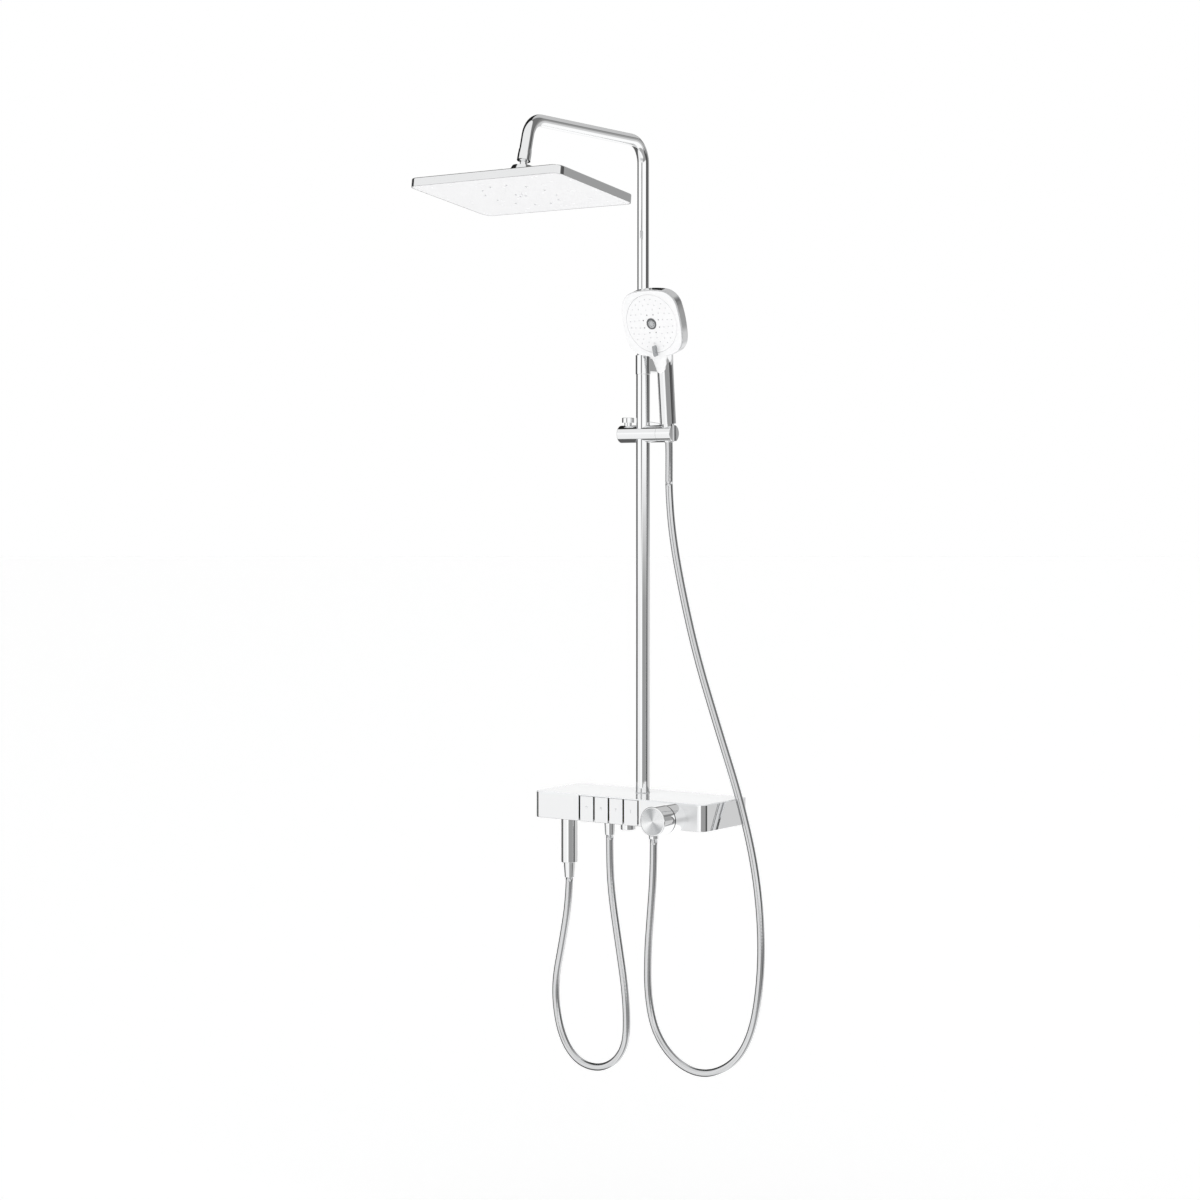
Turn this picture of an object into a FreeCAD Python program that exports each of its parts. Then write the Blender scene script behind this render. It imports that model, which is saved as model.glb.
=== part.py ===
"""Rainfall shower column: a shelf mixer with four push keys and a temperature knob, a two-part riser
with a gooseneck arm, a rectangular overhead spray, a sliding handset holder, a handset and a spray
gun on their hoses.

Frame, in millimetres: the origin is on the wall, midway between the two water inlets.
+X is to the right seen from the front, +Y goes into the wall and +Z is up.
"""
import FreeCAD
import Part
import math
import os

from FreeCAD import Placement, Rotation, Vector

# ---- shelf mixer ----
shelf_width = 386.0
shelf_depth = 152.0
shelf_height = 50.0
shelf_wall_gap = 10.0          # between the shelf's back and the wall
shelf_corner = 15.0            # radius of the four upright corners
shelf_x = 4.5                  # middle of the shelf, right of the riser
shelf_wall = 3.0
glass_thick = 2.0
glass_inset = 0.4              # how far the glass stands in from the housing's outline
back_cover_thick = 3.0
post_size = 14.0               # screw posts in the housing's corners
screw_r = 1.9

# ---- water inlets and valve ----
inlet_spacing = 150.0
inlet_r = 9.5
inlet_bore_r = 7.0
union_thread_r = 12.05         # G3/4 nut, radius at the thread crests
union_thread_length = 11.0
thread_relief = 0.3            # how much wider the nut is behind its thread
inlet_flange = 2.5             # thickness of the flange that the nut pulls on
union_nut_flats = 30.0         # across the flats
union_nut_length = 19.0
union_nut_back = 6.0           # from the wall to the nut's open end
gasket_thick = 2.0
manifold_r = 15.0
manifold_left = -98.0          # left end of the valve body's main tube
manifold_beyond = 20.0         # its right end, past the knob's axis
manifold_wall = 5.0
manifold_end_wall = 6.0
riser_boss_wall = 3.5          # of the valve body, where the riser stands in it
riser_nut_wall = 2.5
riser_seat = 6.0               # foot of the riser above the body's axis
gallery_r = 8.0
gallery_y = -110.0             # the line of the hose outlets
outlet_pipe_r = 8.0
outlet_bore_r = 5.5

# ---- keys ----
key_count = 4
key_pitch = 33.4
key_gap = 3.0
key_bank_x = -14.2             # middle of the four keys
key_depth = 12.0
key_wall = 2.4
key_travel = 4.0
key_stem_r = 4.0
push_valve_r = 10.0
push_valve_length = 30.0
push_valve_wall = 2.5          # of the valve body, round each valve

# ---- temperature knob ----
knob_x = 133.5
knob_drop = 2.5                # knob's axis below the shelf's mid height
knob_r = 26.8
knob_length = 35.4
knob_groove = 1.4
knob_rim = 2.0                 # rounding of the knob's front edge
knob_sleeve_r = 26.2
knob_sleeve_length = 35.5
knob_disc_thick = 1.2
knob_disc_recess = 0.7
knob_disc_margin = 2.2         # knob's edge round its disc
cartridge_r = 17.0
cartridge_length = 62.0
cartridge_shoulder = 4.0       # down to the neck that passes through the housing's front wall
cartridge_inside = 6.0         # cartridge's shoulder behind that wall
cartridge_wall = 2.2            # of the valve body, round the cartridge
spindle_r = 5.0

# ---- riser ----
column_from_wall = 70.0
lower_riser_r = 13.0
upper_riser_r = 11.0
riser_wall = 1.5
arm_wall = 1.2
collar_wall = 1.0              # of the wall bracket's collar, round the lower tube
collar_height = 36.0
collar_top = 846.0
liner_height = 9.0
upper_riser_inserted = 240.0   # length of the upper tube below the collar's top
arm_height = 1241.5            # axis of the level part of the arm
arm_reach = 347.5              # from the column to where the two arm axes would cross
arm_bend_r = 40.0
arm_lean = 14.9                # of the down tube, degrees from upright
arm_drop = 77.8                # from that crossing down to the ball nut's mouth
bracket_inset = 2.0            # how far the bracket's arm stands in from its collar, each side
bracket_height = 25.0
bracket_drop = 6.0             # collar's top to the bracket's top
bracket_wall = 3.0             # of the hollow end that slips over the foot
bracket_foot_depth = 8.5
bracket_hole_r = 2.6
bracket_screw_room = 5.0       # in front of the foot, for the wall screw's head
grub_screw_r = 2.0
grub_screw_length = 2.9
guide_bush_height = 8.0
guide_spigot = 14.0            # reaches up inside the upper tube
groove_places = (1.2, 4.6)     # above the bush's foot
groove_height = 2.0
groove_depth = 0.9

# ---- overhead ----
overhead_width = 326.0
overhead_depth = 227.0
overhead_thick = 15.0
overhead_corner = 17.0
overhead_skin = 2.0
overhead_tilt = 7.8            # front edge up, degrees
ball_to_plate = 49.5           # ball centre to the plate's top
ball_r = 9.0
ball_neck_r = 6.5
ball_foot_step = 2.2           # of the ring at the neck's foot, which the dome holds
ball_foot_height = 2.2
ball_bore_r = 4.0
ball_nut_r = 12.0
ball_nut_length = 20.0
ball_nut_straight = 12.0       # from the mouth to where it narrows
ball_nut_overlap = 6.0         # of the nut on the tube
ball_above_mouth = 3.5         # ball centre above the nut's mouth
dome_base_r = 36.5
dome_top_r = 19.5
dome_height = 35.5
dome_wall = 4.0
collar_depth = 10.0            # of the ring in the dome's mouth
nozzle_ring_r = 67.0
nozzle_ring_count = 12
nozzle_middle_r = 9.0
nozzle_middle_count = 4
nozzle_r = 1.5
nozzle_mat_margin = 8.0        # mat beyond the ring of nozzles
nozzle_proud = 0.9
overhead_face_thick = 3.0
nozzle_mat_thick = 1.6
water_plate_thick = 2.0
water_rib_wall = 2.0
overhead_screw_r = 1.6
overhead_screw_head_r = 3.0
overhead_screw_head = 1.4
overhead_post_r = 4.0

# ---- slider and handset holder ----
bar_height = 699.0
bar_left = -49.5
bar_seam = 38.0                # where the turning end starts
bar_end = 70.4
bar_wall = 2.45                # thinnest place, round the bush
bush_wall = 0.9
saddle_rise = 6.5              # the fairing behind the tube, above the bar's top
saddle_rise_end = 3.0
saddle_depth = 9.0
button_x = -34.0
button_r = 11.5
button_cap = 9.4
button_lift = 5.0              # cap's underside above the bar
button_stem_r = 7.0
button_hole_depth = 8.0        # below the bar's axis
button_stem_bottom = 3.0       # above the bar's axis; more than the 3 mm press clears the spring
button_pocket = 2.0
pivot_pin_r = 6.5
pivot_pin_length = 12.0
pivot_screw_r = 2.4
pivot_head_r = 4.4
pivot_head_thick = 3.0
holder_x = 57.5
holder_slot = 15.0

# ---- handset ----
handle_lean = 5.4              # degrees, forward going up
cone_top_r = 11.6
cone_bottom_r = 9.8
cone_below = 16.2
handle_bottom_r = 15.2
handle_top_r = 15.4
handle_bore_r = 8.0
handle_top = 126.0             # where the neck starts to widen, along the handle from the bar's axis
neck_rise = 32.0               # from there to the neck's end inside the head
neck_half_width = 24.0
neck_half_depth = 9.5
waterway_r = 6.0
face_height = 205.0            # face centre, along the handle
face_forward = 34.0            # face centre in front of the handle's axis
face_tilt = 18.0               # degrees from upright
face_half_width = 63.5
face_half_height = 63.0
face_side_r = 200.0
face_corner_r = 35.0
head_thick = 20.5
head_skin = 2.4
face_thick = 3.0
face_inset = 1.1               # how far the white frame stands in from the shell's outline
tail_length = 94.5             # face centre down to the tail's tip
tail_root_half = 27.0          # half widths: where it leaves the frame, below its flare, at its tip
tail_half = 12.8
tail_tip_half = 9.6
tail_flare = 17.0
tail_proud = 1.3               # how far the tail stands out on the handle
tail_thick = 3.0
tail_spread = 45.9             # half width of the sleeve the tongue is cut from, at the face
dial_r = 54.5
dial_thick = 3.0
dial_centre_r = 10.5
dial_stem_r = 3.5
dial_gap = 0.4                 # behind the dial
jet_r = 1.1
dial_tab_length = 20.0
dial_tab_width = 6.0
dial_tab_proud = 8.0
dial_tab_beyond = 6.0          # past the dial's edge

# ---- hoses and gun ----
hose_r = 7.0
outlet_x_handset = 52.0
outlet_x_gun = -48.0
outlet_collar_r = 12.0
outlet_collar = 5.0
end_nut_wall = 1.6
nipple_length = 10.0
end_nut_length = 24.0
end_nut_top_r = 10.3
end_nut_bottom_r = 8.8
spout_x = 8.0
spout_y = -130.0
spout_r = 14.0
spout_drop = 12.4
spout_wall = 3.5
aerator_thick = 5.0
gun_x = -142.0
gun_r = 15.6
gun_length = 85.0
gun_plug_r = 11.5
gun_plug_length = 20.0
gun_gap = 1.7                  # between the gun's shoulder and its socket
gun_bore_r = 8.0
gun_socket_wall = 2.0
gun_socket_drop = 2.0
gun_socket_rise = 27.0
gun_tail_length = 29.0
gun_tail_top_r = 11.0
gun_tail_bottom_r = 9.0

# ---- clearances ----
running = 0.05                 # radial, between a shaft and its hole
apart = 0.3                    # between pieces that move past each other
seated = 0.05                  # between pieces pushed together
hose_clear = 0.3               # around a hose in its nut

# ---- places that follow ----
bar_r = lower_riser_r + running + bush_wall + bar_wall
collar_r = lower_riser_r + collar_wall
bracket_width = 2 * (collar_r - bracket_inset)
riser_boss_r = lower_riser_r + riser_boss_wall
cartridge_neck_r = cartridge_r - cartridge_shoulder
ball_foot_r = ball_neck_r + ball_foot_step
nipple_r = end_nut_bottom_r - end_nut_wall
knob_z = -knob_drop
gun_socket_r = gun_plug_r + running + gun_socket_wall
# cone nut's top above the bar's axis, along the leaning handle
cone_above = bar_r + handle_bottom_r * math.tan(math.radians(handle_lean)) + apart
column_y = -column_from_wall
pivot_hole_x = bar_seam - pivot_pin_length - 1
pivot_head_x = lower_riser_r + bush_wall + 1.2
shelf_back = -shelf_wall_gap
shelf_front = shelf_back - shelf_depth
shelf_top = shelf_height / 2
shelf_bottom = -shelf_height / 2
glass_bottom = shelf_top - glass_thick
key_width = key_pitch - key_gap
key_window = key_count * key_pitch + key_gap
collar_bottom = collar_top - collar_height
lower_riser_top = collar_top - 1.0 - liner_height
key_xs = [key_bank_x + (i - (key_count - 1) / 2) * key_pitch for i in range(key_count)]
cartridge_front = shelf_front + shelf_wall + cartridge_inside
knob_sleeve_front = shelf_front - knob_sleeve_length
knob_back = knob_sleeve_front - knob_groove
knob_front = knob_back - knob_length
key_back = shelf_front + key_depth
valve_front = key_back + key_travel + 6.0
outlet_nut_top = shelf_bottom - outlet_collar
outlet_nut_bottom = outlet_nut_top - end_nut_length
water_plate_bottom = overhead_face_thick + nozzle_mat_thick + 4 * seated
water_plate_top = water_plate_bottom + water_plate_thick
gun_top = shelf_bottom - gun_socket_drop - gun_gap
gun_bottom = gun_top - gun_length
gun_tail_bottom = gun_bottom - gun_tail_length


# The routes of the two hoses, from the handset or gun to the outlet under the shelf.
handset_hose_route = [
    (57.5, -71.6, 715.9), (57.5, -67.65, 674.1), (56, -65.6, 638), (55.5, -65.2, 590), (64, -67, 512),
    (86, -69, 412), (121, -70, 285), (168, -70, 155), (217, -70, 25), (254, -73, -105), (270, -78, -237),
    (264, -84, -350), (244, -88, -421), (208, -92, -465), (152, -96, -487), (96, -100, -470),
    (52, -104, -420), (37, -107, -350), (38, -109, -270), (46, -110.5, -190), (52, -110, -115),
    (52, -110, -54),
]
gun_hose_route = [
    (-142, -110, -143), (-143.5, -110, -188), (-158, -110, -265), (-177, -110, -350), (-170, -110, -420),
    (-150, -110, -468), (-118, -110, -496), (-77, -110, -502), (-39, -110, -487), (-14, -110, -455),
    (-8, -110, -414), (-12, -110, -345), (-28, -110, -255), (-43, -110, -170), (-48, -110, -108),
    (-48, -110, -54),
]


# ---- helpers ----
X, Y, Z = Vector(1, 0, 0), Vector(0, 1, 0), Vector(0, 0, 1)


def cyl(r, length, at, axis=Z):
    return Part.makeCylinder(r, length, Vector(*at), axis)


def cone(r0, r1, length, at, axis=Z):
    return Part.makeCone(r0, r1, length, Vector(*at), axis)


def ring(r_out, r_in, length, at, axis=Z):
    return cyl(r_out, length, at, axis).cut(cyl(r_in, length + 2, Vector(*at) - axis, axis))


def block(x0, x1, y0, y1, z0, z1):
    return Part.makeBox(x1 - x0, y1 - y0, z1 - z0, Vector(x0, y0, z0))


def join(shapes):
    """One solid; faces that lie in one surface become one face where that leaves it sound."""
    out = shapes[0].fuse(shapes[1:])
    clean = out.copy().removeSplitter()
    return clean if clean.isValid() else out


def take(shape, cutters):
    for c in cutters:
        shape = shape.cut(c)
    return shape


def hexagon(flats, length, at, axis=Z):
    """A hexagonal bar of the given width across its flats."""
    r = flats / math.sqrt(3)
    pts = [Vector(r * math.cos(math.radians(60 * k)), r * math.sin(math.radians(60 * k)), 0)
           for k in range(7)]
    bar = Part.Face(Part.makePolygon(pts)).extrude(Vector(0, 0, length))
    bar.Placement = Placement(Vector(*at), Rotation(Z, axis))
    return bar


def rounded_plate(width, depth, thick, corner, centre=(0, 0, 0)):
    """A plate with round corners; centre is the middle of its lower face."""
    w, d, r = width / 2, depth / 2, corner
    cx, cy, cz = centre
    s = r * math.sqrt(0.5)
    edges = []
    for sx, sy, first in ((1, 1, "x"), (-1, 1, "y"), (-1, -1, "x"), (1, -1, "y")):
        a = Vector(sx * w, sy * (d - r), 0) if first == "x" else Vector(sx * (w - r), sy * d, 0)
        b = Vector(sx * (w - r), sy * d, 0) if first == "x" else Vector(sx * w, sy * (d - r), 0)
        m = Vector(sx * (w - r + s), sy * (d - r + s), 0)
        edges.append((a, m, b))
    wire = []
    for k, (a, m, b) in enumerate(edges):
        wire.append(Part.Arc(a, m, b).toShape())
        wire.append(Part.LineSegment(b, edges[(k + 1) % 4][0]).toShape())
    plate = Part.Face(Part.Wire(wire)).extrude(Vector(0, 0, thick))
    plate.translate(Vector(cx, cy, cz))
    return plate


def squircle(half_w, half_h, side_r, corner_r, thick):
    """A plate whose four sides bulge and whose corners are round; it lies on z = 0."""
    side_c = Vector(half_w - side_r, 0, 0)
    top_c = Vector(0, half_h - side_r, 0)
    reach = side_r - corner_r
    mid = (side_c + top_c) * 0.5
    across = top_c - side_c
    half = across.Length / 2
    rise = math.sqrt(reach * reach - half * half)
    out = Vector(across.y, -across.x, 0)
    out.normalize()
    if out.x < 0:
        out = -out
    corner_c = mid + out * rise
    on_side = corner_c + (corner_c - side_c).normalize() * corner_r
    on_top = corner_c + (corner_c - top_c).normalize() * corner_r
    on_corner = corner_c + out * corner_r
    edges = []

    def flip(v, sx, sy):
        return Vector(v.x * sx, v.y * sy, 0)

    for sx, sy in ((1, 1), (-1, 1), (-1, -1), (1, -1)):
        edges.append(Part.Arc(flip(on_side, sx, sy), flip(on_corner, sx, sy),
                              flip(on_top, sx, sy)).toShape())
    edges.append(Part.Arc(flip(on_top, 1, 1), Vector(0, half_h, 0), flip(on_top, -1, 1)).toShape())
    edges.append(Part.Arc(flip(on_top, 1, -1), Vector(0, -half_h, 0), flip(on_top, -1, -1)).toShape())
    edges.append(Part.Arc(flip(on_side, 1, 1), Vector(half_w, 0, 0), flip(on_side, 1, -1)).toShape())
    edges.append(Part.Arc(flip(on_side, -1, 1), Vector(-half_w, 0, 0), flip(on_side, -1, -1)).toShape())
    wire = Part.Wire(Part.__sortEdges__(edges))
    return Part.Face(wire).extrude(Vector(0, 0, thick))


def soften(shape, radius, chosen):
    """Rounds the edges that the test chooses, if the shape can take it."""
    edges = [e for e in shape.Edges if chosen(e)]
    return shape.makeFillet(radius, edges) if edges else shape


def path_of(points, share=0.45):
    """Straight runs joined by tangent arcs; each arc is as large as its two runs allow."""
    pts = [Vector(*p) for p in points]
    edges, radii = [], []
    start = pts[0]
    for a, b, c in zip(pts, pts[1:], pts[2:]):
        u, v = (b - a), (c - b)
        shorter = min(u.Length, v.Length)
        u.normalize()
        v.normalize()
        turn = u.getAngle(v)
        reach = share * shorter
        radius = reach / math.tan(turn / 2)
        radii.append(radius)
        p, q = b - u * reach, b + v * reach
        to_centre = (v - u).normalize()
        centre = b + to_centre * math.hypot(radius, reach)
        m = centre - to_centre * radius
        edges.append(Part.LineSegment(start, p).toShape())
        edges.append(Part.Arc(p, m, q).toShape())
        start = q
    edges.append(Part.LineSegment(start, pts[-1]).toShape())
    return Part.Wire(edges), radii


def tube_along(points, r_out, r_in=0.0, share=0.45):
    wire, radii = path_of(points, share)
    first = wire.Edges[0]
    at, along = first.Vertexes[0].Point, Vector(*points[1]) - Vector(*points[0])

    def swept(r):
        profile = Part.Wire([Part.makeCircle(r, at, along)])
        return wire.makePipeShell([profile], True, True)

    solid = swept(r_out)
    if r_in:
        solid = solid.cut(swept(r_in))
    return solid, wire.Length, radii


def spring(r, wire_r, length, turns, at, axis=Z):
    """A coil made of tangent arcs, eight to the turn."""
    count = 8 * turns
    points = [(r * math.cos(k * math.pi / 4), r * math.sin(k * math.pi / 4), length * k / count)
              for k in range(count + 1)]
    coil = tube_along(points, wire_r)[0]
    coil.Placement = Placement(Vector(*at), Rotation(Z, axis))
    return coil


def tilted(shape, degrees, about):
    """Turns a shape about the X direction through a point."""
    out = shape.copy()
    out.rotate(Vector(*about), X, degrees)
    return out


nodes = {}


# ---- shelf ----
def shelf_outline(thick, inset, z):
    return rounded_plate(shelf_width - 2 * inset, shelf_depth - 2 * inset, thick,
                         shelf_corner - inset, (shelf_x, (shelf_front + shelf_back) / 2, z))


def corner_posts(r, z0, z1):
    off = shelf_wall + post_size / 2
    xs = (shelf_x - shelf_width / 2 + off, shelf_x + shelf_width / 2 - off)
    ys = (shelf_front + off, shelf_back - back_cover_thick - off)
    return [cyl(r, z1 - z0, (x, y, z0)) for x in xs for y in ys]


def make_housing():
    height = glass_bottom - shelf_bottom
    shell = shelf_outline(height, 0, shelf_bottom)
    shell = soften(shell, 0.8, lambda e: abs(e.BoundBox.ZMax - shelf_bottom) < 1e-6)
    inner = shelf_outline(height, shelf_wall, shelf_bottom + shelf_wall)
    shell = shell.cut(inner)
    posts = [cyl(post_size / 2, height - shelf_wall, (p.BoundBox.Center.x, p.BoundBox.Center.y,
                                                     shelf_bottom + shelf_wall - 0.5))
             for p in corner_posts(1, 0, 1)]
    shell = join([shell] + posts)
    window_x = key_bank_x - key_window / 2
    half = shelf_width / 2 - shelf_corner
    open_back = block(shelf_x - half, shelf_x + half, shelf_back - back_cover_thick, shelf_back + 1,
                      shelf_bottom + shelf_wall, glass_bottom + 1)
    key_opening = block(window_x, window_x + key_window, shelf_front - 1, key_back + key_travel + 1,
                        shelf_bottom - 1, glass_bottom + 1)
    cuts = [open_back, key_opening,
            cyl(cartridge_neck_r, 2 * shelf_wall, (knob_x, shelf_front - 1, knob_z), Y)]
    cuts += corner_posts(screw_r, glass_bottom - 14, glass_bottom + 1)
    for x in (outlet_x_handset, outlet_x_gun):
        cuts.append(cyl(outlet_pipe_r + seated, 3 * shelf_wall, (x, gallery_y, shelf_bottom - shelf_wall)))
    cuts.append(cyl(outlet_pipe_r + seated, 3 * shelf_wall, (spout_x, spout_y, shelf_bottom - shelf_wall)))
    cuts.append(cyl(gun_socket_r + seated, 3 * shelf_wall, (gun_x, gallery_y, shelf_bottom - shelf_wall)))
    return take(shell, cuts)


def make_glass():
    plate = shelf_outline(glass_thick, glass_inset, glass_bottom)
    plate = soften(plate, 0.6, lambda e: abs(e.BoundBox.ZMin - shelf_top) < 1e-6)
    return plate.cut(cyl(lower_riser_r + apart, glass_thick + 2, (0, column_y, glass_bottom - 1)))


def make_back_cover():
    w = shelf_width / 2 - shelf_corner - seated
    plate = block(shelf_x - w, shelf_x + w, shelf_back - back_cover_thick, shelf_back,
                  shelf_bottom + shelf_wall + seated, glass_bottom - seated)
    holes = [cyl(union_nut_flats / math.sqrt(3) + 1.5, 10, (x, shelf_back - 5, 0), Y)
             for x in (-inlet_spacing / 2, inlet_spacing / 2)]
    return take(plate, holes)


def make_shelf_screws():
    return Part.makeCompound([
        join([cyl(screw_r - seated, 12, (p.BoundBox.Center.x, p.BoundBox.Center.y, glass_bottom - 12.5))])
        for p in corner_posts(1, 0, 1)])


def make_valve_body():
    parts = [cyl(manifold_r, knob_x + manifold_beyond - manifold_left, (manifold_left, column_y, 0), X),
             cyl(gallery_r, outlet_x_handset - key_xs[0] + 6, (key_xs[0], gallery_y, 0), X),
             cyl(riser_boss_r, glass_bottom - 1.0, (0, column_y, 0))]
    for x in (-inlet_spacing / 2, inlet_spacing / 2):
        parts.append(cyl(inlet_r, -union_nut_back - union_thread_length - gasket_thick - column_y - 3.0,
                         (x, column_y + 3.0, 0), Y))
        parts.append(cyl(union_thread_r - apart, inlet_flange,
                         (x, -union_nut_back - union_thread_length - gasket_thick - inlet_flange, 0), Y))
    for x in key_xs:
        parts.append(cyl(push_valve_r + push_valve_wall, column_y - 4.0 - valve_front, (x, valve_front, 0), Y))
    parts.append(cyl(cartridge_r + cartridge_wall, column_y + 12 - cartridge_front,
                     (knob_x, cartridge_front, knob_z), Y))
    for x, y in ((outlet_x_handset, gallery_y), (outlet_x_gun, gallery_y), (spout_x, spout_y)):
        parts.append(cyl(outlet_pipe_r, -shelf_bottom, (x, y, shelf_bottom)))
    body = join(parts)
    cuts = [cyl(manifold_r - manifold_wall, knob_x - manifold_left - 2 * manifold_end_wall,
                (manifold_left + manifold_end_wall, column_y, 0), X),
            cyl(lower_riser_r + seated, glass_bottom, (0, column_y, riser_seat))]
    for x in (-inlet_spacing / 2, inlet_spacing / 2):
        cuts.append(cyl(inlet_bore_r, -column_y, (x, column_y, 0), Y))
    for x in key_xs:
        cuts.append(cyl(push_valve_r + seated, push_valve_length + 1, (x, valve_front - 1, 0), Y))
    cuts.append(cyl(cartridge_r + seated, cartridge_length, (knob_x, cartridge_front - 1, knob_z), Y))
    for x, y in ((outlet_x_handset, gallery_y), (outlet_x_gun, gallery_y), (spout_x, spout_y)):
        cuts.append(cyl(outlet_bore_r, -shelf_bottom + 1, (x, y, shelf_bottom - 1)))
    return take(body, cuts)


def make_union_nuts():
    nuts = []
    for x in (-inlet_spacing / 2, inlet_spacing / 2):
        nut = hexagon(union_nut_flats, union_nut_length, (x, -union_nut_back, 0), -Y)
        nut = nut.cut(cyl(union_thread_r, union_thread_length, (x, -union_nut_back, 0), -Y))
        nut = nut.cut(cyl(union_thread_r + thread_relief, gasket_thick + inlet_flange + seated,
                          (x, -union_nut_back - union_thread_length, 0), -Y))
        nuts.append(nut.cut(cyl(inlet_r + seated, union_nut_length + 2, (x, -union_nut_back + 1, 0), -Y)))
    return Part.makeCompound(nuts)


def make_inlet_gaskets():
    return Part.makeCompound([
        ring(union_thread_r - apart, inlet_bore_r, gasket_thick,
             (x, -union_nut_back - union_thread_length - gasket_thick, 0), Y)
        for x in (-inlet_spacing / 2, inlet_spacing / 2)])


def make_push_valves():
    return Part.makeCompound([
        join([cyl(push_valve_r, push_valve_length - 1, (x, valve_front, 0), Y),
              ring(push_valve_r + 2, key_stem_r + 1.5, 2.0, (x, valve_front - 2.0, 0), Y)]).cut(
            cyl(key_stem_r + running, 14, (x, valve_front - 3, 0), Y))
        for x in key_xs])


def make_key_springs():
    length = valve_front - 2.0 - key_back
    return Part.makeCompound([
        spring(key_stem_r + 1.6, 0.45, length - 1.2, 3, (x, key_back + 0.6, 0), Y) for x in key_xs])


def make_key(x):
    """A key cap, hollow behind, with the stem that works its valve."""
    w = key_width / 2
    z0, z1 = shelf_bottom, glass_bottom - apart
    cap = block(x - w, x + w, shelf_front, key_back, z0, z1)
    cap = soften(cap, 1.0, lambda e: abs(e.BoundBox.YMax - shelf_front) < 1e-6)
    hollow = block(x - w + key_wall, x + w - key_wall, shelf_front + key_wall, key_back - key_wall,
                   z0 + key_wall, z1 - key_wall)
    cap = cap.cut(hollow)
    stem = cyl(key_stem_r, valve_front + 6 - (shelf_front + 1), (x, shelf_front + 1, 0), Y)
    return join([cap, stem])


def make_cartridge():
    body = cyl(cartridge_r, cartridge_length - 4, (knob_x, cartridge_front, knob_z), Y)
    neck = cyl(cartridge_neck_r - 1, cartridge_inside + shelf_wall, (knob_x, shelf_front, knob_z), Y)
    bore = cyl(spindle_r + running, 34, (knob_x, cartridge_front - 10, knob_z), Y)
    return join([body, neck]).cut(bore)


def make_knob_sleeve():
    sleeve = cyl(knob_sleeve_r, knob_sleeve_length - seated, (knob_x, knob_sleeve_front, knob_z), Y)
    sleeve = soften(sleeve, 0.8, lambda e: abs(e.BoundBox.YMax - knob_sleeve_front) < 1e-6)
    return take(sleeve, [
        cyl(knob_sleeve_r - 2.5, knob_sleeve_length - 5, (knob_x, knob_sleeve_front + 3, knob_z), Y),
        cyl(cartridge_neck_r, knob_sleeve_length + 2, (knob_x, knob_sleeve_front - 1, knob_z), Y)])


def make_spindle():
    front, back = knob_back - 18, cartridge_front + 16
    rod = cyl(spindle_r, back - front, (knob_x, front, knob_z), Y)
    boss = cyl(cartridge_neck_r - apart, 3.0, (knob_x, knob_back - 2, knob_z), Y)
    return join([rod, boss])


def make_knob():
    cap = cyl(knob_r, knob_length, (knob_x, knob_front, knob_z), Y)
    cap = soften(cap, knob_rim, lambda e: len(e.Vertexes) == 1 and e.BoundBox.YMax < knob_front + 1e-6)
    return take(cap, [
        cyl(knob_r - knob_disc_margin, knob_disc_recess + knob_disc_thick, (knob_x, knob_front, knob_z), Y),
        cyl(knob_r - 3, knob_length - 8, (knob_x, knob_back - knob_length + 11, knob_z), Y).cut(
            cyl(spindle_r + 3.5, 80, (knob_x, knob_front - 10, knob_z), Y)),
        cyl(cartridge_neck_r - apart + seated, 2.1, (knob_x, knob_back - 2.05, knob_z), Y),
        cyl(spindle_r + seated, 18.2, (knob_x, knob_back - 18.1, knob_z), Y)])


def make_knob_disc():
    return cyl(knob_r - knob_disc_margin - seated, knob_disc_thick,
               (knob_x, knob_front + knob_disc_recess, knob_z), Y)


# ---- riser ----
def make_lower_riser():
    bottom = riser_seat + seated
    return ring(lower_riser_r, lower_riser_r - riser_wall, lower_riser_top - bottom, (0, column_y, bottom))


def make_riser_seal():
    return ring(lower_riser_r + 0.4, lower_riser_r + running, 1.2, (0, column_y, shelf_top))


def make_riser_nut():
    z0, z1 = manifold_r + apart, glass_bottom - apart
    nut = hexagon(2 * (riser_boss_r + riser_nut_wall), z1 - z0, (0, column_y, z0))
    return nut.cut(cyl(riser_boss_r + seated, z1 - z0 + 2, (0, column_y, z0 - 1)))


def make_wall_bracket():
    """The collar that holds the lower tube, with the arm that reaches back to the wall."""
    z1 = collar_top - bracket_drop
    z0 = z1 - bracket_height
    collar = cyl(collar_r, collar_height, (0, column_y, collar_bottom))
    collar = soften(collar, 0.6, lambda e: len(e.Vertexes) == 1)
    arm = block(-bracket_width / 2, bracket_width / 2, column_y, 0, z0, z1)
    arm = soften(arm, 1.2, lambda e: e.BoundBox.YLength > 10)
    body = join([collar, arm])
    w, h = bracket_width / 2 - bracket_wall, bracket_height / 2 - bracket_wall
    zc = (z0 + z1) / 2
    return take(body, [
        cyl(lower_riser_r + seated, lower_riser_top - collar_bottom + liner_height + 1,
            (0, column_y, collar_bottom - 1)),
        cyl(upper_riser_r + apart, collar_height + 2, (0, column_y, collar_bottom - 1)),
        block(-w - seated, w + seated, -bracket_foot_depth - bracket_screw_room, 1,
              zc - h - seated, zc + h + seated),
        cyl(grub_screw_r, 12, (0, -bracket_foot_depth / 2, z0 - 1))])


def make_bracket_foot():
    z1 = collar_top - bracket_drop
    zc = z1 - bracket_height / 2
    w, h = bracket_width / 2 - bracket_wall, bracket_height / 2 - bracket_wall
    foot = block(-w, w, -bracket_foot_depth, 0, zc - h, zc + h)
    return foot.cut(cyl(bracket_hole_r, bracket_foot_depth + 2, (0, -bracket_foot_depth - 1, zc), Y))


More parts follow.
